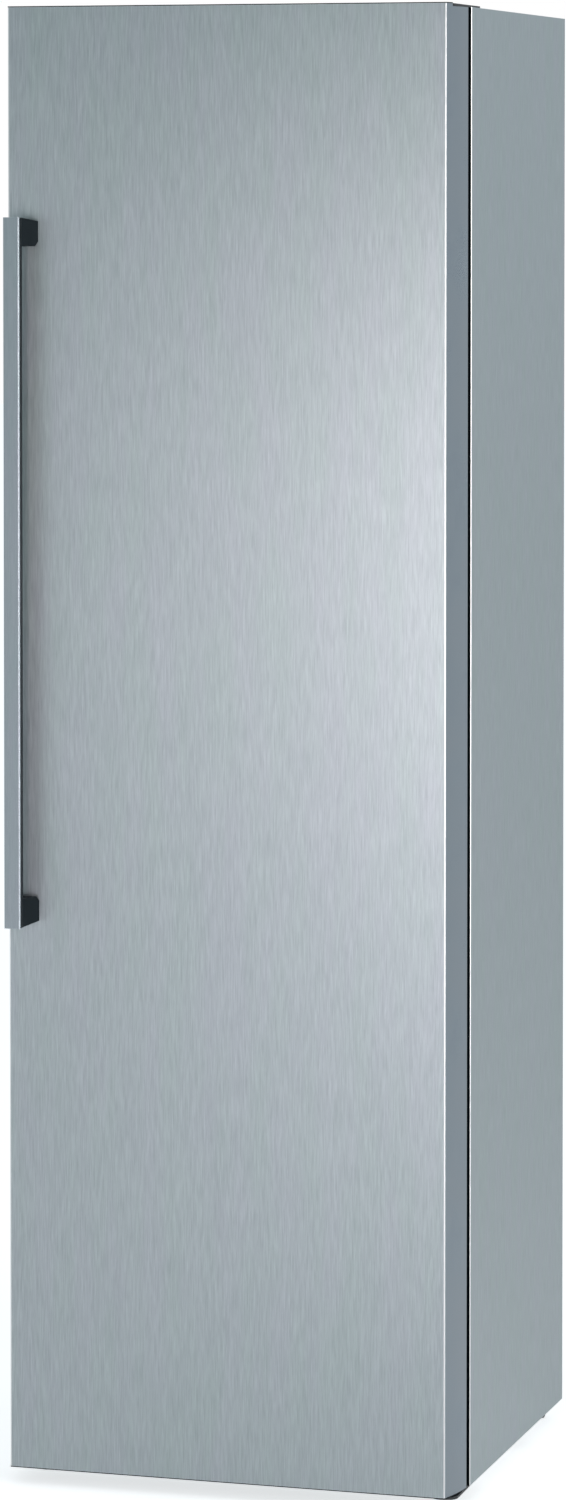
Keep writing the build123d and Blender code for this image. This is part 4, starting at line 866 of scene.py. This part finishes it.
def addDoorPad():
    face = corners("door_inner_liner")[1][1]
    half, bottom, top = doorPad["half"], doorPad["bottom"], doorPad["top"]
    loops = [roundedLoop((-half, bottom), (half, top), doorPad["corner"], inset, steps=5)
             for inset in doorPad["insets"]]
    crossHalf, rise = half - doorPad["crossInset"], doorPad["crossRise"]
    for bead in range(doorPad["crossBeads"]):
        z = bottom + (top - bottom) * (bead + 0.5) / doorPad["crossBeads"]
        low, high = (-crossHalf, z - rise), (crossHalf, z + rise)
        loops.append(roundedLoop(low, high, doorPad["crossCorner"], steps=5))
    mesh = bmesh.new()
    for loop in loops:
        tube(mesh, upright(loop, face), doorPad["beadRadius"], joined=True)
    finishPiece("doorPadBeads", mesh, "whiteLiner", "door")


# seven clear drawers with a rolled rim, stepped walls, a framed front and a hooded grip

drawer = {
    "count": 7, "gripReach": 8.0, "frontWall": 4.0, "frontOverhang": 2.0, "sideShare": 0.8, "stepShare": 0.62,
    "wall": 2.5, "backCorner": 14.0, "rim": 1.8, "frame": 11.0, "frameStep": 0.9, "gripHalf": 70.0,
    "gripDrop": 8.0, "gripHeight": 12.0, "floorRibs": 6, "ribHalf": 1.2, "ribSink": 0.6, "ribTop": 1.4,
    "ribRounding": 0.5, "ribEnds": (12, 16), "frontLap": 0.2, "frontCorner": 7.0,
}


def drawerTub(mesh, low, high, face):
    half = high[0] - drawer["frontOverhang"]
    front = face + drawer["frontWall"] - drawer["frontLap"]
    floor, top = low[2], low[2] + (high[2] - low[2]) * drawer["sideShare"]
    step = floor + (top - floor) * drawer["stepShare"]
    wall, rim = drawer["wall"], drawer["rim"]
    # inset from the tub's outer wall, and height
    outline = [(5.0, floor), (2.6, floor + 0.5), (1.0, floor + 2.4), (0.8, floor + 5), (0.8, step - 2),
               (0.0, step), (0.0, top - 6), (0.0, top - 4.4), (-rim, top - 3.6), (-rim, top - 0.9),
               (-rim + 0.7, top), (1.2, top), (wall, top - 1.2), (wall, step), (wall + 0.8, step - 2),
               (wall + 0.8, floor + 7), (wall + 2.6, floor + wall + 0.6), (wall + 5, floor + wall)]
    loops = []
    for inset, z in outline:
        inward = max(inset, 0)
        loop = roundedLoop((-half + inset, front + inward * 0.6), (half - inset, high[1] - inward), 1.0,
                           backRadius=drawer["backCorner"] - inward)
        loops.append(flat(loop, z))
    loft(mesh, loops)
    ribLow, ribHigh = floor + wall - drawer["ribSink"], floor + wall + drawer["ribTop"]
    ribFront, ribBack = front + drawer["ribEnds"][0], high[1] - drawer["ribEnds"][1]
    for rib in range(drawer["floorRibs"]):
        x, wide = -half + 2 * half * (rib + 0.5) / drawer["floorRibs"], drawer["ribHalf"]
        slab(mesh, (x - wide, ribFront, ribLow), (x + wide, ribBack, ribHigh), drawer["ribRounding"])


def drawerFront(mesh, low, high, face):
    back, frame = face + drawer["frontWall"], drawer["frame"]
    # inset from the front's outer edge, and depth
    outline = ((1.0, back), (0.0, back - 0.9), (0.0, face + 1.2), (0.35, face + 0.4), (1.3, face),
               (frame, face), (frame + 0.8, face + 0.25), (frame + 1.6, face + drawer["frameStep"]))
    corner = drawer["frontCorner"]
    loft(mesh, [upright(roundedLoop((-high[0], low[2]), frontal(high), max(corner - inset, 3.0), inset), y)
                for inset, y in outline])


def drawerGrip(mesh, high, face):
    half, top = drawer["gripHalf"], high[2] - drawer["gripDrop"]
    bottom, front = top - drawer["gripHeight"], face - drawer["gripReach"]
    loops = []
    for inset, z in ((2.0, top), (0.6, top - 0.5), (0.0, top - 1.8), (0.0, bottom + 0.8), (0.7, bottom),
                     (1.8, bottom), (2.5, bottom + 0.8), (3.0, top - 3.6), (4.4, top - 2.8)):
        loop = roundedLoop((-half + inset, front + inset), (half - inset, face + 1.2), max(6.0 - inset, 1.0),
                           backRadius=0.4)
        loops.append(flat(loop, z))
    loft(mesh, loops)


def addDrawers():
    for number in range(1, drawer["count"] + 1):
        node = f"drawer_{number}"
        low, high = corners(node)
        face = low[1] + drawer["gripReach"]
        mesh = bmesh.new()
        drawerTub(mesh, low, high, face)
        drawerFront(mesh, low, high, face)
        drawerGrip(mesh, high, face)
        finishPiece(f"clearDrawer_{number}", mesh, "clearPlastic", node, (node,))


addGasket()
addDoorPad()
addDrawers()
print("door and drawer pieces made")


# a moulded strip along the front edge of each glass shelf

shelfTrim = {"reach": 4.2, "below": 6.0, "tuck": 7.0, "sideGap": 9.5, "glass": 4.0, "endRounding": 0.8}


def addShelfTrims():
    low, high = corners("glass_shelves")
    levels = sorted({round(v.co.z / mm, 1) for v in nodes["glass_shelves"].data.vertices})
    front, half = low[1], high[0] - shelfTrim["sideGap"]
    out, tuck, end = front - shelfTrim["reach"], front + shelfTrim["tuck"], shelfTrim["endRounding"]
    # each shelf has two levels, its underside and its top
    for number, level in enumerate(levels[0::2], start=1):
        top = level + shelfTrim["glass"]
        section = ((front, top), (out + 1.4, top), (out + 0.4, top - 0.5), (out, top - 1.6),
                   (out, level - 3.6), (out + 0.5, level - 5.2), (out + 1.8, level - shelfTrim["below"]),
                   (front - 1.0, level - 5.6), (front - 0.6, level - 2.2), (tuck, level - 1.9),
                   (tuck, level), (front, level))
        middle = front - 1.5
        loops = []
        for x, inset in ((-half, end), (-half + end, 0.0), (half - end, 0.0), (half, end)):
            shrink = 1 - inset * 0.12
            loops.append([(x, middle + (y - middle) * shrink, level + (z - level) * shrink)
                          for y, z in section])
        mesh = bmesh.new()
        loft(mesh, loops)
        finishPiece(f"shelfTrim_{number}", mesh, "controlPlastic", "cabinet")


# the lamp's ribbed lens

lampLens = {"ribs": 16, "ribRadius": 1.5, "edge": 4.0, "corner": 8.0}


def addLampLens():
    low, high = corners("lamp_cover")
    edge, bottom = lampLens["edge"], low[2]
    outline = ((0.0, high[2]), (0.0, bottom + 3.4), (0.5, bottom + 2.2), (1.6, bottom + 1.5),
               (3.2, bottom + 1.3))
    mesh = bmesh.new()
    loft(mesh, [flat(roundedLoop(low, high, lampLens["corner"] - inset, inset), z) for inset, z in outline])
    front, back = low[1] + edge, high[1] - edge
    step = (high[0] - low[0] - 4 * edge) / (lampLens["ribs"] - 1)
    for rib in range(lampLens["ribs"]):
        x = low[0] + 2 * edge + rib * step
        points = [(x, front + 1, bottom + 1.9), (x, front + 2.4, bottom + 1.5), (x, back - 2.4, bottom + 1.5),
                  (x, back - 1, bottom + 1.9)]
        tube(mesh, points, lampLens["ribRadius"], sides=10)
    finishPiece("ribbedLampLens", mesh, "lampLens", "cabinet", ("lamp_cover",))


# the fan guard's ring and the cover's screws

fanGuard = {"ringRadius": 50.0, "bead": 1.6, "screwReach": 44.64, "screwRadius": 4.0, "screwDome": 2.0}


def crossScrew(mesh, centre, axis, radius, dome, sign=1.0):
    # a pan head with a sunk cross; its face points along the axis, or against it
    x, y, z = centre
    armReach, armHalf = radius * 0.62, radius * 0.16

    def place(a, b, h):
        h *= sign
        return {"X": (x + h, y + a, z + b), "Y": (x + b, y + h, z + a), "Z": (x + a, y + b, z + h)}[axis]

    def circle(size, height):
        return [place(size * c, size * s, height) for c, s in turns(36)]

    def cross(shrink, height):
        reach, half = armReach * shrink, armHalf * shrink
        return [place(a * c - b * s, a * s + b * c, height) for c, s in turns(4)
                for a, b in ((reach, -half), (reach, half), (half, half))]

    plans = [circle(radius, 0), circle(radius, dome * 0.35), circle(radius * 0.93, dome * 0.75),
             circle(radius * 0.78, dome), cross(1.0, dome), cross(0.6, dome * 0.25)]
    rings = [[mesh.verts.new(point) for point in plan] for plan in plans]
    for first, second in zip(rings[:3], rings[1:4]):
        skin(mesh, first, second)
    mesh.faces.new(reversed(rings[0]))
    face, mouth, floor = rings[3:]
    skin(mesh, mouth, floor)
    mesh.faces.new(floor)
    edges = [mesh.edges.get((ring[i], ring[(i + 1) % len(ring)]))
             for ring in (face, mouth) for i in range(len(ring))]
    bmesh.ops.triangle_fill(mesh, edges=edges, use_beauty=True)


def addFanGuard():
    face = corners("evaporator_cover")[0][1]
    z = middleOf("evaporator_fan")[2]
    radius, reach = fanGuard["ringRadius"], fanGuard["screwReach"]
    size, dome = fanGuard["screwRadius"], fanGuard["screwDome"]
    mesh = bmesh.new()
    tube(mesh, [(radius * c, face, z + radius * s) for c, s in turns(64)], fanGuard["bead"], joined=True)
    finishPiece("fanGuardRing", mesh, "whiteLiner", "cabinet")
    mesh = bmesh.new()
    for x in (-reach, reach):
        for rise in (-reach, reach):
            crossScrew(mesh, (x, face, z + rise), "Y", size, dome, sign=-1.0)
    finishPiece("fanCoverScrews", mesh, "boltZinc", "cabinet")


# the temperature display: two lit digits with a minus, a degree ring and three status dots

display = {
    "digitHeight": 13.0, "digitWidth": 7.0, "bar": 1.5, "lift": 0.15, "gap": 3.2, "lean": 0.12,
    "ring": 1.6, "ringBead": 0.3, "dot": 1.1, "dots": 3, "dotSpacing": 7.0, "dotInset": 8,
    "shift": 2, "barGap": 0.25, "sink": 0.1, "ringAside": 4, "ringDrop": 1.2,
}
litBars = {"1": "bc", "8": "abcdefg", "-": "g"}


def addDisplay():
    low, high = corners("display_window")
    middle, pane, lift = middleOf("display_window")[2], low[1], display["lift"]
    w, h, b = display["digitWidth"], display["digitHeight"] / 2, display["bar"] / 2
    ends = {"a": ((0, h), (w, h)), "b": ((w, h), (w, 0)), "c": ((w, 0), (w, -h)), "d": ((w, -h), (0, -h)),
            "e": ((0, -h), (0, 0)), "f": ((0, 0), (0, h)), "g": ((0, 0), (w, 0))}
    mesh = bmesh.new()
    left = -(3 * w + 2 * display["gap"]) / 2 - display["shift"]
    for place, digit in enumerate("-18"):
        start = left + place * (w + display["gap"])
        for bar in litBars[digit]:
            first, last = (Vector(end) for end in ends[bar])
            along = (last - first).normalized()
            across = Vector((-along.y, along.x)) * b
            first, last = first + along * display["barGap"], last - along * display["barGap"]
            plan = [first, first + along * b + across, last - along * b + across, last,
                    last - along * b - across, first + along * b - across]
            outline = [(start + p.x + p.y * display["lean"], middle + p.y) for p in plan]
            loft(mesh, [upright(outline, pane + display["sink"]), upright(outline, pane - lift)])
    finishPiece("displayDigits", mesh, "lightDigit", "cabinet")
    mesh = bmesh.new()
    x = left + 3 * w + 2 * display["gap"] + display["ringAside"]
    z, r = middle + h - display["ringDrop"], display["ring"]
    ring = [(x + r * c, pane, z + r * s) for c, s in turns(20)]
    tube(mesh, ring, display["ringBead"], sides=6, joined=True)
    dot = display["dot"]
    profile = ((dot, -lift - 0.05), (dot, 0.0), (dot - 0.2, 0.1))
    for k in range(display["dots"]):
        z = middle + (k - 1) * display["dotSpacing"]
        lathe(mesh, profile, (high[0] - display["dotInset"], pane, z), "Y", sides=16)
    finishPiece("displayMarks", mesh, "lightDigit", "cabinet")


# raised marks on the three buttons: a power ring, a snow star and an up and down arrow

buttonMarks = {
    "line": 0.32, "size": 2.6, "ringShare": 0.8, "ringGap": 70, "ringSteps": 20, "forkAngle": 50.0,
    "forkStart": 0.6, "forkLength": 0.38, "forkLine": 0.85,
}


def addButtonMarks():
    size, line = buttonMarks["size"], buttonMarks["line"]

    def addMark(name, button, strokes):
        # each stroke is a list of places across and up from the button's middle, and a width
        x, _, z = middleOf(button)
        y = corners(button)[0][1] + 0.05
        mesh = bmesh.new()
        for points, width in strokes:
            tube(mesh, [(x + size * a, y, z + size * b) for a, b in points], width, sides=6)
        finishPiece(name, mesh, "iconInk", button)

    ring, gap, steps = (buttonMarks[k] for k in ("ringShare", "ringGap", "ringSteps"))
    arc = [math.radians(90 + gap / 2 + (360 - gap) * k / steps) for k in range(steps + 1)]
    addMark("powerMark", "power_button", [([(ring * math.cos(a), ring * math.sin(a)) for a in arc], line),
                                          ([(0.0, 0.1), (0.0, 1.05)], line)])
    star = []
    forkLength, forkLine = buttonMarks["forkLength"], line * buttonMarks["forkLine"]
    for turn in range(6):
        a = math.radians(90 + 60 * turn)
        tip = Vector((math.cos(a), math.sin(a)))
        star.append(([(0.0, 0.0), tip], line))
        for side in (-1, 1):
            b = a + side * math.radians(buttonMarks["forkAngle"])
            fork = tip * buttonMarks["forkStart"]
            star.append(([fork, fork + Vector((math.cos(b), math.sin(b))) * forkLength], forkLine))
    addMark("freezeMark", "freeze_button", star)
    addMark("temperatureMark", "temperature_button",
            [([(-0.7, side * 0.35), (0.0, side), (0.7, side * 0.35)], line) for side in (-1, 1)])


addShelfTrims()
addLampLens()
addFanGuard()
addDisplay()
addButtonMarks()
print("cavity and control pieces made")


# levelling feet with a fluted pad and a threaded stem

foot = {
    "padRadius": 10.0, "padHeight": 9.0, "flutes": 16, "fluteDepth": 0.55, "stemRadius": 4.95, "thread": 0.75,
    "pitch": 1.5, "top": 50.0, "fluteFrom": 1.6, "fluteTo": 7.4,
}


def addFeet():
    r, pad, stem = foot["padRadius"], foot["padHeight"], foot["stemRadius"]
    quarter = foot["pitch"] / 4

    def flutes(angle, height):
        deep = foot["fluteDepth"] if foot["fluteFrom"] < height < foot["fluteTo"] else 0.0
        return -deep * (0.5 - 0.5 * math.cos(angle * foot["flutes"]))

    def thread(angle, height):
        turn = (height / foot["pitch"] - angle / (2 * math.pi)) % 1.0
        return -foot["thread"] * abs(2 * turn - 1)

    padProfile = ((r - 1.6, 0.0), (r - 0.5, 0.35), (r, 1.3), (r, 1.7), (r, 7.3), (r, 7.7), (r - 0.4, 8.5),
                  (r - 1.2, pad), (5.6, pad + 0.01), (5.2, pad - 0.8))
    stemProfile = [(stem, pad - 1 + k * quarter) for k in range(int((foot["top"] - pad + 1) / quarter))]
    stemProfile.append((stem - 1.0, foot["top"] - 0.2))
    for side in ("left", "right"):
        node = f"levelling_foot_{side}"
        x, y, _ = middleOf(node)
        mesh = bmesh.new()
        lathe(mesh, padProfile, (x, y, 0.0), sides=96, ripple=flutes)
        finishPiece(f"flutedFoot_{side}", mesh, "blackPlastic", f"{side}_foot", (node,))
        mesh = bmesh.new()
        lathe(mesh, stemProfile, (x, y, 0.0), sides=24, ripple=thread)
        finishPiece(f"footThread_{side}", mesh, "boltZinc", f"{side}_foot")


# transport rollers with a hub, a web and spokes

roller = {
    "radius": 13.0, "half": 7.0, "bore": 3.05, "hub": 5.6, "rim": 10.4, "web": 1.6, "spokes": 6,
    "spokeRadius": 1.0,
}


def addRollers():
    r, half, bore, hub, rim, web = (roller[k] for k in ("radius", "half", "bore", "hub", "rim", "web"))
    side = ((hub, half - 0.4), (hub + 0.2, web + 0.4), (hub + 0.7, web), (rim - 0.6, web), (rim, web + 0.6),
            (rim + 0.1, half - 0.9), (rim + 0.5, half - 0.5), (r - 1.0, half - 0.3), (r - 0.3, half - 1.0),
            (r, half - 2.0))
    section = [(bore, -half + 0.3), (bore + 0.3, -half), (hub - 0.4, -half)]
    section += [(radius, -height) for radius, height in side]
    section += [(radius, height) for radius, height in reversed(side)]
    section += [(hub - 0.4, half), (bore + 0.3, half), (bore, half - 0.3)]
    for name in ("left", "right"):
        node = f"rear_roller_{name}"
        x, y, z = middleOf(node)
        mesh = bmesh.new()
        lathe(mesh, section, (x, y, z), "X", sides=48, joined=True)
        for c, s in turns(roller["spokes"]):
            for end in (-1, 1):
                spoke = [(x + end * (web + 1.6), y + reach * c, z + reach * s)
                         for reach in (hub - 0.2, rim + 0.2)]
                tube(mesh, spoke, roller["spokeRadius"])
        finishPiece(f"transportRoller_{name}", mesh, "blackPlastic", f"{name}_roller", (node,))


# rubber mounts with a waist, and the bolts that hold the compressor's foot plate down

mounts = {"radius": 12.0, "height": 10.0, "plateTop": 2.5, "washer": 8.5, "nut": 5.6, "bolt": 3.2}


def addMounts():
    low, high = corners("compressor_feet")
    r, height, w, n, bolt = (mounts[k] for k in ("radius", "height", "washer", "nut", "bolt"))
    top = height + mounts["plateTop"]
    waist = ((r - 0.8, 0.0), (r, 0.7), (r, 2.2), (r - 1.0, 3.0), (r - 2.8, 3.6), (r - 3.2, 5.0),
             (r - 2.8, 6.4), (r - 1.0, 7.0), (r, 7.8), (r, 9.3), (r - 0.8, height))
    rubber, steel = bmesh.new(), bmesh.new()
    for x in (low[0] + r, high[0] - r):
        for y in (low[1] + r, high[1] - r):
            centre = (x, y, low[2])
            lathe(rubber, waist, centre)
            lathe(steel, ((w, top), (w, top + 1.2), (w - 0.4, top + 1.5), (n - 0.2, top + 1.5)), centre)
            lathe(steel, ((n - 0.5, top + 1.4), (n, top + 2.0), (n, top + 5.2), (n - 0.5, top + 5.8)), centre,
                  sides=6)
            lathe(steel, ((bolt, top + 5.6), (bolt, top + 9.0), (bolt - 0.7, top + 9.8)), centre, sides=20)
    finishPiece("rubberMounts", rubber, "blackRubber", "cabinet", ("compressor_feet",))
    finishPiece("mountNuts", steel, "boltZinc", "cabinet", sharp=28)


# the sealed filling tube on the compressor, and the tray's rolled rim

fillingTube = {"radius": 3.0, "rise": 46.0, "out": 16.0, "crimp": 1.1, "start": (40.0, 60.0, 70.0)}
trayRim = {"out": 3.0, "drop": 3.2, "corner": 12.0}


def addFillingTube():
    middle, low = middleOf("compressor"), corners("compressor")[0]
    aside, behind, above = fillingTube["start"]
    x, y, z = middle[0] + aside, middle[1] + behind, low[2] + above
    back, tip, crimp = y + fillingTube["out"], z + fillingTube["rise"], fillingTube["crimp"]
    points = [(x, y - 4, z), (x, back - 8, z), (x, back - 3, z + 1.6), (x, back, z + 6), (x, back, tip)]
    mesh = bmesh.new()
    tube(mesh, points, fillingTube["radius"], sides=12)
    # rise above the tip, and half the depth and width of the pinched end
    pinched = ((-2, 3.0, 3.0), (3, 2.2, 3.6), (6, crimp, 4.2), (13, crimp, 4.2))
    loft(mesh, [[(x + wide * c, back + deep * s, tip + rise) for c, s in turns(16)]
                for rise, deep, wide in pinched])
    finishPiece("fillingTube", mesh, "copper", "cabinet")


def addTrayRim():
    low, high = corners("evaporating_tray")
    out, drop, corner, top = trayRim["out"], trayRim["drop"], trayRim["corner"], high[2]
    outline = ((0.2, top - 0.4), (0.0, top + 0.6), (0.6, top + 1.1), (out - 0.8, top + 1.1), (out, top + 0.3),
               (out, top - drop), (out - 1.0, top - drop), (out - 1.0, top - 0.5))
    mesh = bmesh.new()
    loops = [flat(roundedLoop(low, high, corner + grow, -grow, steps=6), z) for grow, z in outline]
    loft(mesh, loops, joined=True)
    finishPiece("trayRim", mesh, "blackPlastic", "cabinet")


# pressed beads, blind rivets and two foam plugs on the rear

rear = {
    "beadRadius": 1.8, "beadHalf": 190.0, "beadInsets": (0.0, 60.0), "beadCorner": 30.0, "rivetRadius": 3.4,
    "rivetRise": 1.3, "rivets": 12, "rivetEdge": 6.5, "rivetEnd": 30.0, "plugRadius": 13.0, "plugSide": 120.0,
    "plugDrop": 26.0, "beadBelow": 60, "beadAbove": 50,
}


def addRear():
    low, high = corners("back_panel")
    face, half = high[1], rear["beadHalf"]
    mesh = bmesh.new()
    for inset in rear["beadInsets"]:
        start, end = (-half, low[2] + rear["beadBelow"]), (half, high[2] - rear["beadAbove"])
        loop = roundedLoop(start, end, rear["beadCorner"], inset, steps=8)
        tube(mesh, upright(loop, face - 0.6), rear["beadRadius"], joined=True)
    finishPiece("rearBeads", mesh, "zincSteel", "cabinet")
    panelLow, panelHigh = corners("side_panel_right")
    bottom, top = panelLow[2] + rear["rivetEnd"], panelHigh[2] - rear["rivetEnd"]
    across = panelHigh[0] - rear["rivetEdge"]
    r, rise = rear["rivetRadius"], rear["rivetRise"]
    profile = ((r, 0.0), (r, rise * 0.25), (r * 0.8, rise * 0.75), (r * 0.45, rise), (r * 0.3, rise),
               (r * 0.26, rise * 0.5))
    mesh = bmesh.new()
    for x in (-across, across):
        for rivet in range(rear["rivets"]):
            z = bottom + (top - bottom) * rivet / (rear["rivets"] - 1)
            lathe(mesh, profile, (x, panelHigh[1], z), "Y", sides=20)
    finishPiece("rearRivets", mesh, "boltZinc", "cabinet")
    r = rear["plugRadius"]
    profile = ((r, 0.0), (r, 0.8), (r - 1.0, 1.6), (r - 3.4, 1.8), (r - 4.2, 1.0), (r - 6.0, 0.9))
    mesh = bmesh.new()
    for x in (-rear["plugSide"], rear["plugSide"]):
        lathe(mesh, profile, (x, face, high[2] - rear["plugDrop"]), "Y", sides=40)
    finishPiece("foamPlugs", mesh, "blackPlastic", "cabinet")


# the lid: two raised ridges, and plugs in the holes for a left-hand hinge

lid = {
    "ridge": 0.8, "ridgeInsets": (10.0, 22.0), "frontStrip": 92.0, "corner": 12.0, "plug": 5.2,
    "plugRise": 0.9, "screwsAbove": 1000,
}


def screwCentres(atTop):
    # the hinge screws' outer ends, from the loose parts of their node
    reach = 12  # between a screw's own vertices
    groups = []
    for vertex in nodes["hinge_screws"].data.vertices:
        place = vertex.co / mm
        near = (g for g in groups if math.hypot(place.x - g[0].x, place.y - g[0].y) < reach)
        group = next(near, None)
        if group is None:
            groups.append([place])
        else:
            group.append(place)
    found = []
    for group in groups:
        xs, ys, zs = zip(*group)
        z = max(zs) if atTop else min(zs)
        found.append(((min(xs) + max(xs)) / 2, (min(ys) + max(ys)) / 2, z))
    return [spot for spot in found if (spot[2] > lid["screwsAbove"]) == atTop]


def addLid():
    low, high = corners("top_panel")
    top = high[2]
    mesh = bmesh.new()
    for inset in lid["ridgeInsets"]:
        loop = roundedLoop((low[0], low[1] + lid["frontStrip"]), high, lid["corner"], inset, steps=5)
        tube(mesh, flat(loop, top), lid["ridge"], joined=True)
    finishPiece("lidRidges", mesh, "topPlastic", "cabinet")
    r, rise = lid["plug"], lid["plugRise"]
    profile = ((r, 0.0), (r, rise * 0.4), (r - 0.6, rise), (r * 0.4, rise * 1.15), (0.4, rise * 1.2))
    mesh = bmesh.new()
    for x, y, _ in screwCentres(True):
        lathe(mesh, profile, (-x, y, top), sides=28)
    finishPiece("lidPlugs", mesh, "blackPlastic", "cabinet")


# hinge screws with a cross in the heads above, and flanged hexagon heads below

hingeScrew = {"radius": 4.4, "dome": 1.4, "hexagon": 4.5, "hexagonHeight": 3.0}


def addHingeScrews():
    dome, r, height = hingeScrew["dome"], hingeScrew["hexagon"], hingeScrew["hexagonHeight"]
    mesh = bmesh.new()
    for x, y, z in screwCentres(True):
        crossScrew(mesh, (x, y, z - dome), "Z", hingeScrew["radius"], dome)
    for centre in screwCentres(False):
        lathe(mesh, ((r + 0.9, height), (r + 0.9, height - 0.7), (r - 0.2, height - 1.0)), centre, sides=28)
        lathe(mesh, ((r, height - 0.8), (r, 0.5), (r - 0.5, 0.0)), centre, sides=6)
    finishPiece("hingeScrewHeads", mesh, "boltZinc", "cabinet", ("hinge_screws",), sharp=28)


# ribs and a wire bail on the relay's cover

relay = {
    "ribs": 4, "ribHeight": 0.9, "ribEnd": 14.0, "ribMargin": 9, "bail": 1.0, "bailInset": 12, "gland": 14.0,
}


def addRelayCover():
    low, high = corners("relay_box")
    back, x, out, end = high[1] - relay["gland"], low[0], relay["bail"], relay["ribEnd"]
    margin = relay["ribMargin"]
    mesh = bmesh.new()
    for rib in range(relay["ribs"]):
        z = low[2] + end + (high[2] - low[2] - 2 * end) * rib / (relay["ribs"] - 1)
        slab(mesh, (x - relay["ribHeight"], low[1] + margin, z - 1.2), (x + 0.6, back - margin, z + 1.2), 0.5)
    finishPiece("relayRibs", mesh, "blackPlastic", "cabinet")
    mesh = bmesh.new()
    points = roundedLoop(low[1:], (back, high[2]), 6.0, -out)
    tube(mesh, [(x + relay["bailInset"], y, z) for y, z in points], out, joined=True)
    finishPiece("relayBail", mesh, "boltZinc", "cabinet")


addFeet()
addRollers()
addMounts()
addFillingTube()
addTrayRim()
addRear()
addLid()
addHingeScrews()
addRelayCover()
print("rear and base pieces made")
